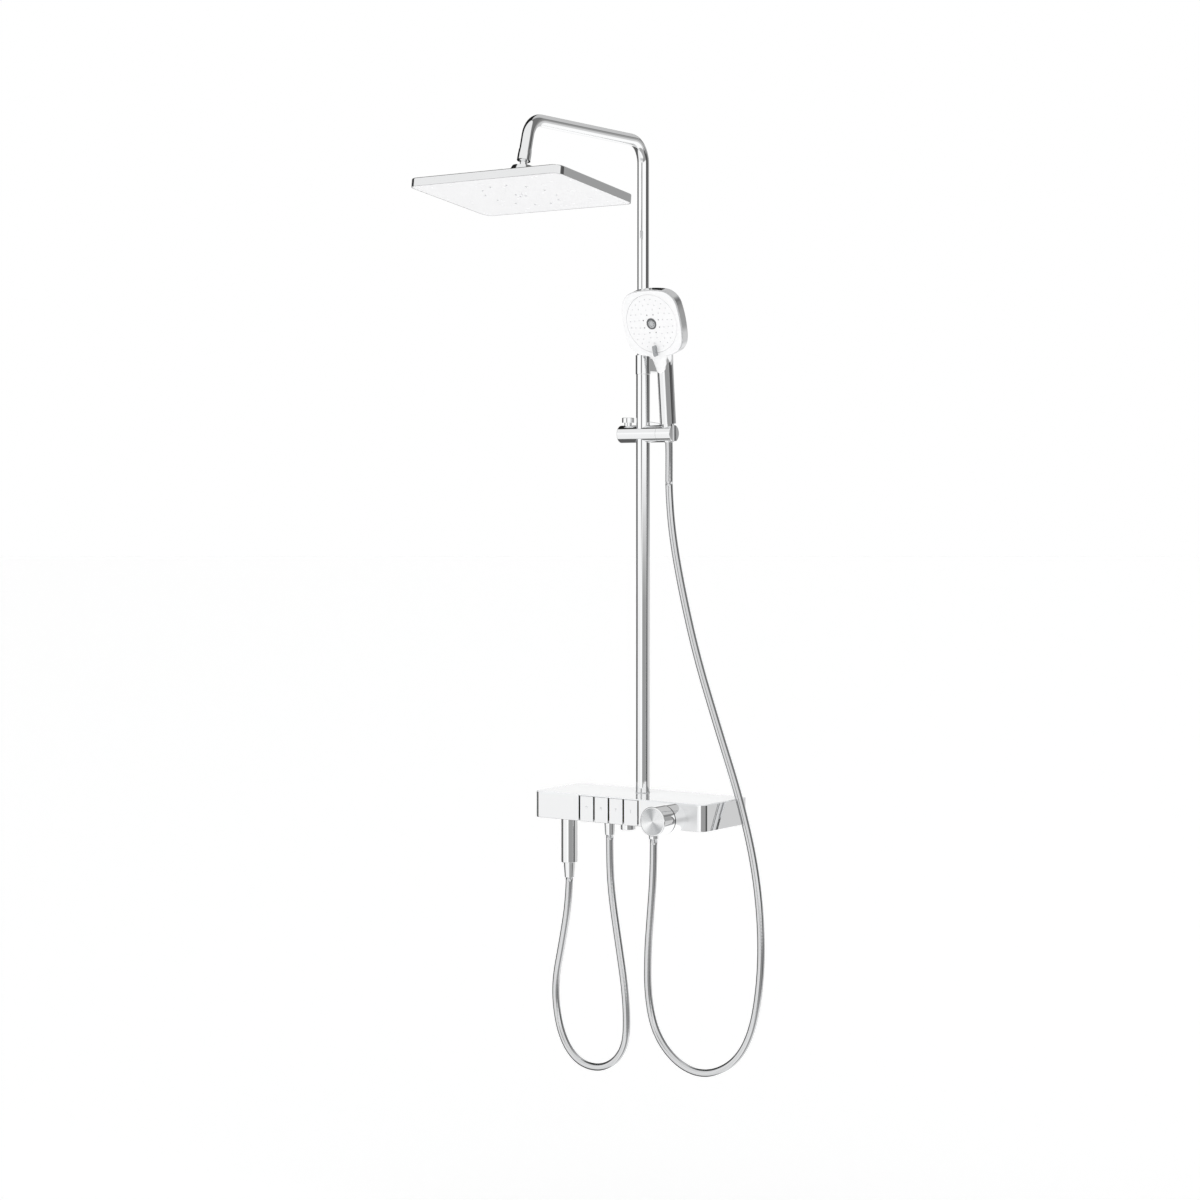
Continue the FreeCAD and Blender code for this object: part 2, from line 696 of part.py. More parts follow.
def make_grub_screw():
    z1 = collar_top - bracket_drop
    z0 = z1 - bracket_height
    screw = cyl(grub_screw_r - seated, grub_screw_length, (0, -bracket_foot_depth / 2, z0))
    return screw.cut(hexagon(2.0, 2.0, (0, -bracket_foot_depth / 2, z0 - 0.5)))


def make_riser_liner():
    return ring(lower_riser_r, upper_riser_r + running, liner_height - seated,
                (0, column_y, lower_riser_top + seated))


upper_riser_bottom = collar_top - upper_riser_inserted


def make_guide_bush():
    """The ring at the foot of the upper tube that keeps it in the middle of the lower one."""
    outer = lower_riser_r - riser_wall - running
    foot = upper_riser_bottom - guide_bush_height - apart
    bush = join([cyl(outer, guide_bush_height, (0, column_y, foot)),
                 cyl(upper_riser_r - arm_wall - running, guide_bush_height + guide_spigot,
                     (0, column_y, foot))])
    grooves = [ring(outer + 1, outer - groove_depth, groove_height, (0, column_y, foot + g))
               for g in groove_places]
    return take(bush, [cyl(6.0, 40, (0, column_y, foot - 4))] + grooves)


def make_o_rings():
    outer = lower_riser_r - riser_wall - running
    foot = upper_riser_bottom - guide_bush_height - apart
    return Part.makeCompound([
        ring(outer, outer - groove_depth, groove_height - 0.2, (0, column_y, foot + g + 0.1))
        for g in groove_places])


def arm_points():
    lean = math.radians(arm_lean)
    corner = Vector(0, column_y - arm_reach, arm_height)
    down = Vector(0, -math.sin(lean), -math.cos(lean))
    return corner, down


def nut_mouth():
    """Where the ball nut ends, on the axis of the down tube."""
    corner, down = arm_points()
    return corner + down * arm_drop


def make_gooseneck():
    """Upper tube, rear bend, level arm, front bend and down tube, bent from one pipe."""
    corner, down = arm_points()
    end = nut_mouth() - down * (ball_nut_length - ball_nut_overlap)
    turn_front = math.radians(90 - arm_lean)
    reach = arm_bend_r * math.tan(turn_front / 2)
    c1 = Vector(0, column_y - arm_bend_r, arm_height - arm_bend_r)
    p0 = Vector(0, column_y, upper_riser_bottom)
    p1 = Vector(0, column_y, arm_height - arm_bend_r)
    s = math.sqrt(0.5)
    m1 = c1 + Vector(0, s, s) * arm_bend_r
    p2 = Vector(0, column_y - arm_bend_r, arm_height)
    p3 = corner + Y * reach
    p4 = corner + down * reach
    c2 = p3 - Z * arm_bend_r
    m2 = c2 + (corner - c2).normalize() * arm_bend_r
    wire = Part.Wire([Part.LineSegment(p0, p1).toShape(), Part.Arc(p1, m1, p2).toShape(),
                      Part.LineSegment(p2, p3).toShape(), Part.Arc(p3, m2, p4).toShape(),
                      Part.LineSegment(p4, end).toShape()])

    def swept(r):
        return wire.makePipeShell([Part.Wire([Part.makeCircle(r, p0, Z)])], True, True)

    return swept(upper_riser_r).cut(swept(upper_riser_r - arm_wall))


def ball_centre():
    down = arm_points()[1]
    return nut_mouth() - down * ball_above_mouth


def make_ball_nut():
    """A round union nut, slightly belled, whose lip holds the ball."""
    mouth, down = nut_mouth(), arm_points()[1]
    up = -down
    c = ball_centre()
    straight = ball_nut_straight
    body = join([cyl(ball_nut_r, straight, mouth, up),
                 cone(ball_nut_r, upper_riser_r + 0.5, ball_nut_length - straight, mouth + up * straight, up)])
    ball = Part.makeSphere(ball_r + running, c)
    return take(body, [
        ball,
        cyl(ball_r + running, 5.5, c, up),
        cyl(upper_riser_r + seated, 20, mouth + up * (ball_nut_length - ball_nut_overlap - seated), up),
        cyl(6.0, ball_nut_length, c, up),
        cone(ball_r - 0.9, ball_r - 2.6, 2.4, mouth - up * 0.4, up)])


def make_swivel_ball():
    """Built upright under the ball's centre, then turned to the overhead's tilt."""
    c = ball_centre()
    neck_end = ball_to_plate - dome_height - 1.0
    shape = join([Part.makeSphere(ball_r, c),
                  cyl(ball_neck_r, neck_end + 14, c - Z * (neck_end + 14)),
                  ring(ball_foot_r, ball_neck_r - 1, ball_foot_height, c - Z * (neck_end + 14))])
    shape = shape.cut(cyl(ball_bore_r, 60, c - Z * 45))
    return tilted(shape, -overhead_tilt, c)


# ---- overhead ----
def overhead_place(shape):
    return tilted(shape, -overhead_tilt, ball_centre())


def plate_top():
    return ball_centre() - Z * ball_to_plate


def overhead_screw_places():
    top = plate_top()
    x, y = overhead_width / 2 - 22, overhead_depth / 2 - 18
    return [(sx * x, top.y + sy * y) for sx in (-1, 1) for sy in (-1, 1)]


def make_overhead_shell():
    top = plate_top()
    z0 = top.z - overhead_thick
    outer = rounded_plate(overhead_width, overhead_depth, overhead_thick, overhead_corner,
                          (0, top.y, z0))
    outer = soften(outer, 2.0, lambda e: abs(e.BoundBox.ZMin - top.z) < 1e-6)
    dome = cone(dome_base_r, dome_top_r, dome_height, top)
    outer = join([outer, dome])
    skin = overhead_skin
    hollow = rounded_plate(overhead_width - 2 * skin, overhead_depth - 2 * skin,
                           overhead_thick - skin, overhead_corner - skin, (0, top.y, z0 - 0.001))
    tip = top + Z * dome_height
    room = cone(dome_base_r - dome_wall, dome_top_r - dome_wall, dome_height - 9, top - Z * skin)
    outer = take(outer, [hollow, room, cyl(ball_foot_r + apart, 30, tip - Z * 16)])
    post = overhead_thick - skin - water_plate_top - seated
    posts = [ring(overhead_post_r, overhead_screw_r + seated, post + 0.5, (x, y, z0 + water_plate_top + seated))
             for x, y in overhead_screw_places()]
    return overhead_place(join([outer] + posts))


def make_overhead_collar():
    """The ring in the dome's mouth that keeps the neck in and lets it turn."""
    tip = plate_top() + Z * dome_height
    collar = ring(ball_foot_r + apart - seated, ball_neck_r + running, collar_depth, tip - Z * collar_depth)
    return overhead_place(collar)


def nozzle_places():
    """A wide ring of nozzles and a few in the middle."""
    top = plate_top()
    for radius, count in ((nozzle_ring_r, nozzle_ring_count), (nozzle_middle_r, nozzle_middle_count)):
        for k in range(count):
            a = 2 * math.pi * (k + 0.5) / count
            yield radius * math.cos(a), top.y + radius * math.sin(a)


def make_overhead_face():
    top = plate_top()
    z0 = top.z - overhead_thick
    skin = overhead_skin + seated
    plate = rounded_plate(overhead_width - 2 * skin, overhead_depth - 2 * skin, overhead_face_thick,
                          overhead_corner - skin, (0, top.y, z0))
    holes = Part.makeCompound([cyl(nozzle_r + 0.5, overhead_face_thick + 2, (x, y, z0 - 1))
                               for x, y in nozzle_places()])
    return overhead_place(plate.cut(holes))


def make_overhead_nozzles():
    """One soft mat behind the face, with a tip through each hole."""
    top = plate_top()
    z0 = top.z - overhead_thick
    mat = cyl(nozzle_ring_r + nozzle_mat_margin, nozzle_mat_thick,
              (0, top.y, z0 + overhead_face_thick + seated))
    tips = [cyl(nozzle_r + 0.35, overhead_face_thick + 0.8, (x, y, z0 + 0.2)) for x, y in nozzle_places()]
    tips += [cone(nozzle_r - 0.3, nozzle_r + 0.1, nozzle_proud + 0.3, (x, y, z0 - nozzle_proud))
             for x, y in nozzle_places()]
    mat = mat.fuse(tips)
    bores = Part.makeCompound([cyl(0.5, 8, (x, y, z0 - 2)) for x, y in nozzle_places()])
    return overhead_place(mat.cut(bores))


def make_water_plate():
    """The tray that spreads the water: its rib meets the shell's ceiling round the nozzles."""
    top = plate_top()
    z0 = top.z - overhead_thick + water_plate_bottom
    skin = overhead_skin + 1.0
    plate = rounded_plate(overhead_width - 2 * skin, overhead_depth - 2 * skin, water_plate_thick,
                          overhead_corner - skin, (0, top.y, z0))
    rib_r = nozzle_ring_r + nozzle_mat_margin
    floor = z0 + water_plate_thick
    rib = ring(rib_r, rib_r - water_rib_wall, top.z - overhead_skin - seated - floor, (0, top.y, floor))
    holes = [cyl(1.2, water_plate_thick + 2, (x, y, z0 - 1)) for x, y in nozzle_places()]
    holes += [cyl(overhead_screw_r + seated, water_plate_thick + 2, (x, y, z0 - 1))
              for x, y in overhead_screw_places()]
    return overhead_place(join([plate, rib]).cut(Part.makeCompound(holes)))


def make_overhead_screws():
    """Four screws up through the tray into the shell's posts."""
    top = plate_top()
    z0 = top.z - overhead_thick + water_plate_bottom
    return overhead_place(Part.makeCompound([
        join([cyl(overhead_screw_head_r, overhead_screw_head, (x, y, z0 - overhead_screw_head - seated)),
              cyl(overhead_screw_r, 7.5, (x, y, z0 - 1))])
        for x, y in overhead_screw_places()]))


# ---- slider ----
bore_r = lower_riser_r + running + bush_wall


def make_slider_bar():
    """The fixed part of the bar, with the low fairing that rises to the tube behind it."""
    bar = cyl(bar_r, bar_seam - bar_left, (bar_left, column_y, bar_height), X)
    bar = soften(bar, 1.2, lambda e: len(e.Vertexes) == 1 and e.BoundBox.XMax < bar_left + 1e-6)
    top = bar_height + bar_r
    foot = bar_height + bar_r / 2
    end = bar_seam - 1
    outline = [Vector(-1, column_y, foot), Vector(end, column_y, foot),
               Vector(end, column_y, top + saddle_rise_end),
               Vector(lower_riser_r, column_y, top + saddle_rise), Vector(-1, column_y, top + saddle_rise)]
    saddle = Part.Face(Part.makePolygon(outline + outline[:1])).extrude(Y * saddle_depth)
    saddle = soften(saddle, 1.5, lambda e: e.BoundBox.ZMin > top + 1)
    return take(join([bar, saddle]), [
        cyl(bore_r + seated, 2 * bar_r + saddle_rise + 2, (0, column_y, bar_height - bar_r - 1)),
        cyl(button_stem_r + running, bar_r + 12, (button_x, column_y, bar_height - button_hole_depth)),
        cyl(pivot_pin_r + running, pivot_pin_length + 2, (pivot_hole_x, column_y, bar_height), X),
        cyl(pivot_screw_r + running, pivot_hole_x + 1, (0, column_y, bar_height), X),
        cyl(pivot_head_r + apart, pivot_head_x + pivot_head_thick + apart, (0, column_y, bar_height), X)])


def make_slider_bush():
    """A plastic sleeve; its ends follow the round of the bar."""
    sleeve = ring(bore_r, lower_riser_r + running, 2 * bar_r, (0, column_y, bar_height - bar_r))
    return sleeve.common(cyl(bar_r - 0.4, 60, (-30, column_y, bar_height), X))


def make_pivot_screw():
    """Driven from inside the column's bore into the turning end's pin."""
    head = cyl(pivot_head_r, pivot_head_thick, (pivot_head_x, column_y, bar_height), X)
    shank = cyl(pivot_screw_r, bar_seam - 2 - pivot_head_x, (pivot_head_x, column_y, bar_height), X)
    return join([head, shank]).cut(hexagon(4.0, 2.0, (pivot_head_x - 0.1, column_y, bar_height), X))


def make_release_spring():
    """Stands on the bottom of the button's hole and reaches the pocket in its stem."""
    wire_r = 0.6
    bottom = bar_height - button_hole_depth + wire_r + 0.1
    top = bar_height + button_stem_bottom + button_pocket - wire_r - 0.1
    return spring(button_stem_r - 2.2, wire_r, top - bottom, 4, (button_x, column_y, bottom))


def make_release_button():
    z = bar_height + bar_r + button_lift
    cap = cyl(button_r, button_cap, (button_x, column_y, z))
    cap = soften(cap, 1.0, lambda e: len(e.Vertexes) == 1 and e.BoundBox.ZMin > z + 1)
    z0 = bar_height + button_stem_bottom
    stem = cyl(button_stem_r, z + 1 - z0, (button_x, column_y, z0))
    pocket = cyl(button_stem_r - 1.2, button_pocket + 1, (button_x, column_y, z0 - 1))
    return join([cap, stem]).cut(pocket)


# ---- handset; it is built with its handle upright over the bar's axis, then leaned ----
pivot = Vector(holder_x, column_y, bar_height)


def lean(shape):
    return tilted(shape, handle_lean, pivot)


def up_handle(s):
    """A point on the handle's axis, before it is leaned."""
    return pivot + Z * s


def cone_r(s):
    share = (s + cone_below) / (cone_above + cone_below)
    return cone_bottom_r + (cone_top_r - cone_bottom_r) * share


def make_holder_end():
    """The turning end of the bar: a tapered seat for the hose nut and a slot for the hose."""
    x0 = bar_seam + apart
    end = cyl(bar_r, bar_end - x0, (x0, column_y, bar_height), X)
    end = soften(end, 1.2, lambda e: len(e.Vertexes) == 1 and e.BoundBox.XMin > bar_end - 1e-6)
    pin = cyl(pivot_pin_r, pivot_pin_length + apart, (bar_seam - pivot_pin_length, column_y, bar_height), X)
    end = join([end, pin]).cut(cyl(pivot_screw_r + seated, bar_seam - pivot_hole_x,
                                   (pivot_hole_x, column_y, bar_height), X))
    reach = bar_r + 6.0
    seat = cone(cone_r(-reach) + 2 * seated, cone_r(reach) + 2 * seated, 2 * reach, up_handle(-reach))
    slot = block(holder_x, bar_end + 5, column_y - holder_slot / 2, column_y + holder_slot / 2,
                 bar_height - 2 * bar_r, bar_height + 2 * bar_r)
    return take(end, [lean(seat), lean(slot)])


def make_cone_nut():
    nut = cone(cone_bottom_r, cone_top_r, cone_above + cone_below, up_handle(-cone_below))
    nut = soften(nut, 0.6, lambda e: len(e.Vertexes) == 1 and e.BoundBox.ZMax < up_handle(0).z)
    return lean(nut.cut(cyl(hose_r + hose_clear, 60, up_handle(-cone_below - 5))))


def face_centre():
    return up_handle(face_height) - Y * face_forward


def on_face(shape):
    """Takes a plate on z = 0 facing -Z to the handset's face, before the handle is leaned."""
    out = shape.copy()
    out.rotate(Vector(0, 0, 0), Y, 180)
    out.rotate(Vector(0, 0, 0), X, 90 + face_tilt - handle_lean)
    out.translate(face_centre())
    return out


def section(half_width, half_depth, at, degrees=0.0):
    """A circle or an ellipse across the handle, leaned back by some degrees."""
    if half_width == half_depth:
        wire = Part.Wire([Part.makeCircle(half_width)])
    else:
        wire = Part.Wire([Part.Ellipse(Vector(0, 0, 0), half_width, half_depth).toShape()])
    wire.Placement = Placement(at, Rotation(X, degrees))
    return wire


def neck():
    """Widens from the round handle to the width of the head, and thins to the head's depth."""
    in_head = face_forward - neck_rise * 0.7
    return Part.makeLoft([
        section(handle_top_r, handle_top_r, up_handle(handle_top)),
        section(handle_top_r + 0.3, handle_top_r + 0.05, up_handle(handle_top + neck_rise * 0.15)),
        section(handle_top_r + 2.0, handle_top_r + 0.6, up_handle(handle_top + neck_rise * 0.4) - Y * 1.5, 10),
        section(neck_half_width, neck_half_depth, up_handle(handle_top + neck_rise) - Y * in_head, 20)], True)


def make_handset_shell():
    head = squircle(face_half_width, face_half_height, face_side_r, face_corner_r, head_thick)
    head = soften(head, 5.5, lambda e: e.BoundBox.ZMin > head_thick - 1e-6)
    head = on_face(head)
    bottom = cone_above + seated
    handle = cone(handle_bottom_r, handle_top_r, handle_top - bottom, up_handle(bottom))
    body = join([head, handle, neck()])
    skin = head_skin
    hollow = squircle(face_half_width - skin, face_half_height - skin, face_side_r - skin,
                      face_corner_r - skin, head_thick - skin - 1.0)
    hollow.translate(Vector(0, 0, -0.001))
    bore = cyl(handle_bore_r, handle_top + 6 - bottom, up_handle(bottom - 1))
    waterway = cyl(waterway_r, neck_rise, up_handle(handle_top), Vector(0, -0.45, 1))
    return lean(take(body, [on_face(hollow), bore, waterway]))


def tail_outline():
    """The tongue of the face that runs down onto the handle, with hollow flanks, in the face's plane."""
    root = -face_half_height + 3
    below = -face_half_height + 3 - tail_flare
    tip = -tail_length
    w0, w1, w2 = tail_root_half, tail_half, tail_tip_half
    hollow_x = w1 + (w0 - w1) * 0.26
    hollow_y = root - tail_flare * 0.38

    def side(sign):
        return [Vector(sign * w0, root + 8, 0), Vector(sign * w0, root, 0),
                Vector(sign * hollow_x, hollow_y, 0), Vector(sign * w1, below, 0),
                Vector(sign * w2, tip + w2, 0)]

    a, b = side(1), side(-1)
    edges = [Part.LineSegment(a[0], a[1]).toShape(), Part.Arc(a[1], a[2], a[3]).toShape(),
             Part.LineSegment(a[3], a[4]).toShape(), Part.Arc(a[4], Vector(0, tip, 0), b[4]).toShape(),
             Part.LineSegment(b[4], b[3]).toShape(), Part.Arc(b[3], b[2], b[1]).toShape(),
             Part.LineSegment(b[1], b[0]).toShape(), Part.LineSegment(b[0], a[0]).toShape()]
    return Part.Face(Part.Wire(edges))


def tail_form(inward):
    """A sleeve round the handle, some way under the tail's outside; it spreads to meet the face."""
    r = handle_top_r + tail_proud - inward
    meet = face_height - face_half_height
    front = face_forward + face_thick - face_half_height * math.tan(math.radians(face_tilt - handle_lean))
    return Part.makeLoft([
        section(r, r, up_handle(meet - 60)), section(r, r, up_handle(meet - 32)),
        section(r + 7.0, r + 0.6, up_handle(meet - 14) - Y * 0.8),
        section(tail_spread - inward, front - 3 - inward, up_handle(meet + 4) - Y * 3.0)], True)


def make_handset_face():
    """A white frame round the dial, with the tongue that covers the top of the handle."""
    inset = face_inset
    plate = squircle(face_half_width - inset, face_half_height - inset, face_side_r - inset,
                     face_corner_r - inset, face_thick)
    plate.translate(Vector(0, 0, -face_thick - seated))
    plate = soften(plate, 0.8, lambda e: e.BoundBox.ZMax < -face_thick - seated + 1e-6)
    tongue = tail_outline().extrude(Vector(0, 0, 40))
    tongue.translate(Vector(0, 0, -face_thick - seated + 0.2))
    tongue = on_face(tongue).common(tail_form(0.0)).cut(tail_form(tail_thick))
    front_half = block(holder_x - 60, holder_x + 60, column_y - 80, column_y - 2, bar_height, bar_height + 300)
    dial_hole = on_face(cyl(dial_r + apart, 40, (0, 0, -20)))
    inside = squircle(face_half_width - inset - 3, face_half_height - inset - 3, face_side_r - inset - 3,
                      face_corner_r - inset - 3, 60)
    inside.translate(Vector(0, 0, -seated))
    return take(on_face(plate).fuse(tongue.common(front_half).cut(on_face(inside))), [dial_hole])


def finish_face(face, shell):
    """Fits the tongue to the shell it lies on."""
    cut = lean(face).cut(shell)
    solids = sorted(cut.Solids, key=lambda s: -s.Volume)
    return solids[0]


def make_flow_plate():
    """The fixed plate behind the dial; its hub reaches the back of the head."""
    z = dial_gap + 0.2 + apart
    plate = cyl(dial_r - 2, 3.0, (0, 0, z))
    plate = plate.fuse(cyl(9.0, head_thick - head_skin - 1.0 - seated - z, (0, 0, z)))
    holes = [cyl(2.0, 20, (30 * math.cos(k * math.pi / 3), 30 * math.sin(k * math.pi / 3), -2))
             for k in range(6)]
    holes.append(cyl(dial_stem_r + seated, 8, (0, 0, z - 1)))
    return lean(on_face(plate.cut(Part.makeCompound(holes))))


def dial_circles():
    return ((18.0, 8), (27.0, 12), (36.5, 18), (46.0, 24))


def jet_places():
    for radius, count in dial_circles():
        for k in range(count):
            a = 2 * math.pi * (k + 0.5) / count
            if radius < 40 or abs(a - 1.5 * math.pi) > 0.3:
                yield radius * math.cos(a), radius * math.sin(a)


def make_spray_dial():
    disc = cyl(dial_r, dial_thick, (0, 0, -dial_thick - seated - dial_gap))
    disc = soften(disc, 0.8, lambda e: len(e.Vertexes) == 1 and e.BoundBox.ZMax < -dial_thick)
    low = -dial_r - dial_tab_beyond
    tab = block(-dial_tab_width / 2, dial_tab_width / 2, low, low + dial_tab_length,
                -dial_thick - dial_tab_proud, -dial_thick + 0.5)
    tab = soften(tab, 1.8, lambda e: e.BoundBox.ZLength > 4)
    over = block(-40, 40, -dial_r - 20, -dial_r + 1.0, -dial_thick - seated - 0.6, 2)
    disc = join([disc, tab.cut(over)])
    holes = Part.makeCompound([cyl(jet_r, 8, (x, y, -6)) for x, y in jet_places()]
                              + [cyl(dial_centre_r + seated, 8, (0, 0, -6))])
    return lean(on_face(disc.cut(holes)))


def make_dial_nozzles():
    mat = ring(dial_r - 3, dial_centre_r + 2, 1.0, (0, 0, -dial_gap))
    tips = [cyl(jet_r - 0.1, dial_thick + 1.0, (x, y, -dial_thick - 0.9)) for x, y in jet_places()]
    mat = mat.fuse(tips)
    bores = Part.makeCompound([cyl(0.4, 8, (x, y, -6)) for x, y in jet_places()])
    return lean(on_face(mat.cut(bores)))


def make_dial_centre():
    plug = cyl(dial_centre_r, dial_thick + 1.2, (0, 0, -dial_thick - 0.9))
    plug = plug.fuse(cyl(dial_stem_r, 7.0, (0, 0, 0)))
    slots = [cyl(0.9, 8, (5.2 * math.cos(k * math.pi / 4), 5.2 * math.sin(k * math.pi / 4), -6))
             for k in range(8)]
    groove = ring(7.6, 6.9, 0.5, (0, 0, -dial_thick - 0.95))
    return lean(on_face(take(plug, slots + [groove])))


# ---- outlets, hoses and gun ----
def make_spout():
    z = shelf_bottom - spout_drop
    body = cyl(spout_r, spout_drop - seated, (spout_x, spout_y, z))
    body = soften(body, 1.0, lambda e: len(e.Vertexes) == 1 and e.BoundBox.ZMax < z + 1e-6)
    return body.cut(cyl(spout_r - spout_wall, spout_drop - 3, (spout_x, spout_y, z - 1))).cut(
        cyl(outlet_bore_r, 40, (spout_x, spout_y, z)))


def make_aerator():
    z = shelf_bottom - spout_drop
    disc = cyl(spout_r - spout_wall - seated, aerator_thick, (spout_x, spout_y, z + 1.2))
    holes = [cyl(0.8, 8, (spout_x + 4.2 * i, spout_y + 4.2 * j, z)) for i in (-1, 0, 1) for j in (-1, 0, 1)]
    return take(disc, [Part.makeCompound(holes)])


def make_nipples():
    """Threaded ends under the shelf that the hose nuts screw onto."""
    out = []
    for x in (outlet_x_handset, outlet_x_gun):
        collar = hexagon(2 * outlet_collar_r * 0.87, outlet_collar - 2 * seated,
                         (x, gallery_y, outlet_nut_top + seated))
        thread = cyl(nipple_r, nipple_length, (x, gallery_y, outlet_nut_top - nipple_length + 1))
        bore = cyl(outlet_bore_r - 0.5, 40, (x, gallery_y, outlet_nut_top - 20))
        out.append(join([collar, thread]).cut(bore))
    return Part.makeCompound(out)


def make_end_nut(x):
    nut = cone(end_nut_bottom_r, end_nut_top_r, end_nut_length, (x, gallery_y, outlet_nut_bottom))
    nut = soften(nut, 0.5, lambda e: len(e.Vertexes) == 1)
    return nut.cut(cyl(nipple_r + seated, 12, (x, gallery_y, outlet_nut_top - nipple_length + 0.5))).cut(
        cyl(outlet_bore_r - 0.5, 40, (x, gallery_y, outlet_nut_bottom - 2)))


def make_gun_socket():
    """Holds the gun's plug; it sits in the shelf's floor with a flange under it."""
    z = shelf_bottom - gun_socket_drop
    socket = join([cyl(gun_r, gun_socket_drop - seated, (gun_x, gallery_y, z)),
                   cyl(gun_socket_r, gun_socket_drop + gun_socket_rise, (gun_x, gallery_y, z))])
    return socket.cut(cyl(gun_plug_r + running, gun_socket_drop + gun_socket_rise - 2,
                          (gun_x, gallery_y, z - 1)))


def make_gun_body():
    body = cyl(gun_r, gun_length, (gun_x, gallery_y, gun_bottom))
    body = soften(body, 1.0, lambda e: len(e.Vertexes) == 1)
    plug = cyl(gun_plug_r, gun_plug_length + gun_gap, (gun_x, gallery_y, gun_top - 1))
    return join([body, plug]).cut(cyl(gun_bore_r, gun_length + gun_plug_length - 6,
                                      (gun_x, gallery_y, gun_bottom - 1)))


def make_gun_nozzle():
    z = gun_top - 1 + gun_plug_length + gun_gap + seated
    disc = cyl(gun_plug_r - 1, 1.8, (gun_x, gallery_y, z))
    holes = [cyl(0.7, 5, (gun_x + 5 * math.cos(k * math.pi / 3), gallery_y + 5 * math.sin(k * math.pi / 3),
                          z - 1)) for k in range(6)]
    return take(disc, holes)


def make_gun_tail():
    z = gun_tail_bottom
    tail = cone(gun_tail_bottom_r, gun_tail_top_r, gun_tail_length - seated, (gun_x, gallery_y, z))
    tail = soften(tail, 0.5, lambda e: len(e.Vertexes) == 1)
    return tail.cut(cyl(outlet_bore_r, 60, (gun_x, gallery_y, z - 5)))


def make_hose(name, route):
    tube, length, radii = tube_along(route, hose_r)
    section = math.pi * hose_r ** 2
    print(name, "length", round(length), "mm, volume over section x length",
          round(tube.Volume / (section * length), 4), "radii", [round(r) for r in radii])
    return tube


# ---- all the pieces ----
nodes["shelf_housing"] = make_housing()
nodes["shelf_top_glass"] = make_glass()
nodes["shelf_back_cover"] = make_back_cover()
nodes["shelf_screws"] = make_shelf_screws()
nodes["valve_body"] = make_valve_body()
nodes["inlet_union_nuts"] = make_union_nuts()
nodes["inlet_gaskets"] = make_inlet_gaskets()
nodes["push_valves"] = make_push_valves()
nodes["key_springs"] = make_key_springs()
nodes["thermostatic_cartridge"] = make_cartridge()
nodes["knob_sleeve"] = make_knob_sleeve()
for name, x in zip(("rain_key", "handset_key", "spout_key", "gun_key"), key_xs):
    nodes[name] = make_key(x)
nodes["cartridge_spindle"] = make_spindle()
nodes["temperature_knob"] = make_knob()
nodes["knob_disc"] = make_knob_disc()
nodes["lower_riser"] = make_lower_riser()
nodes["riser_base_seal"] = make_riser_seal()
nodes["riser_nut"] = make_riser_nut()
nodes["wall_bracket"] = make_wall_bracket()
nodes["bracket_foot"] = make_bracket_foot()
nodes["bracket_grub_screw"] = make_grub_screw()
nodes["riser_liner"] = make_riser_liner()
nodes["guide_bush"] = make_guide_bush()
nodes["riser_o_rings"] = make_o_rings()
nodes["gooseneck_arm"] = make_gooseneck()
nodes["ball_joint_nut"] = make_ball_nut()
nodes["swivel_ball"] = make_swivel_ball()
nodes["overhead_shell"] = make_overhead_shell()
nodes["overhead_collar"] = make_overhead_collar()
nodes["overhead_face"] = make_overhead_face()
nodes["overhead_nozzles"] = make_overhead_nozzles()
nodes["overhead_water_plate"] = make_water_plate()
nodes["overhead_screws"] = make_overhead_screws()
nodes["slider_bar"] = make_slider_bar()
nodes["slider_bush"] = make_slider_bush()
nodes["holder_pivot_screw"] = make_pivot_screw()
nodes["release_spring"] = make_release_spring()
nodes["release_button"] = make_release_button()
nodes["holder_end"] = make_holder_end()
nodes["handset_cone_nut"] = make_cone_nut()
nodes["handset_shell"] = make_handset_shell()
nodes["handset_face"] = finish_face(make_handset_face(), nodes["handset_shell"])
nodes["handset_flow_plate"] = make_flow_plate()
nodes["spray_dial"] = make_spray_dial()
nodes["dial_nozzles"] = make_dial_nozzles()
nodes["dial_centre"] = make_dial_centre()
nodes["bottom_spout"] = make_spout()
nodes["spout_aerator"] = make_aerator()
nodes["outlet_nipples"] = make_nipples()
nodes["handset_hose_end_nut"] = make_end_nut(outlet_x_handset)
nodes["gun_hose_end_nut"] = make_end_nut(outlet_x_gun)
nodes["gun_socket"] = make_gun_socket()
nodes["spray_gun_body"] = make_gun_body()
nodes["spray_gun_nozzle"] = make_gun_nozzle()
nodes["spray_gun_tail"] = make_gun_tail()
nodes["handset_hose"] = make_hose("handset_hose", handset_hose_route)
nodes["gun_hose"] = make_hose("gun_hose", gun_hose_route)

os.makedirs("parts", exist_ok=True)
for name, shape in nodes.items():
    solids = shape.Solids
    whole = solids[0] if len(solids) == 1 else Part.makeCompound(solids)
    whole.exportStep("parts/" + name + ".step")
    print(name, "solids", len(solids), "valid", all(s.isValid() for s in solids),
          "volume", round(sum(s.Volume for s in solids)))
print(len(nodes), "nodes")
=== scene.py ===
# %% [markdown]
# # A rainfall shower column
# The model arrives already designed: every tube, key and nut is a solid with its place and its joint.
# What is left is how it looks. This lesson gives each piece its finish, lays the two hoses as smooth
# curves, and sets up a small photo studio round it.
#
# The frame is in metres. Its origin is on the wall, midway between the two water inlets; +X is to the
# right seen from the front, +Y goes into the wall and +Z is up.

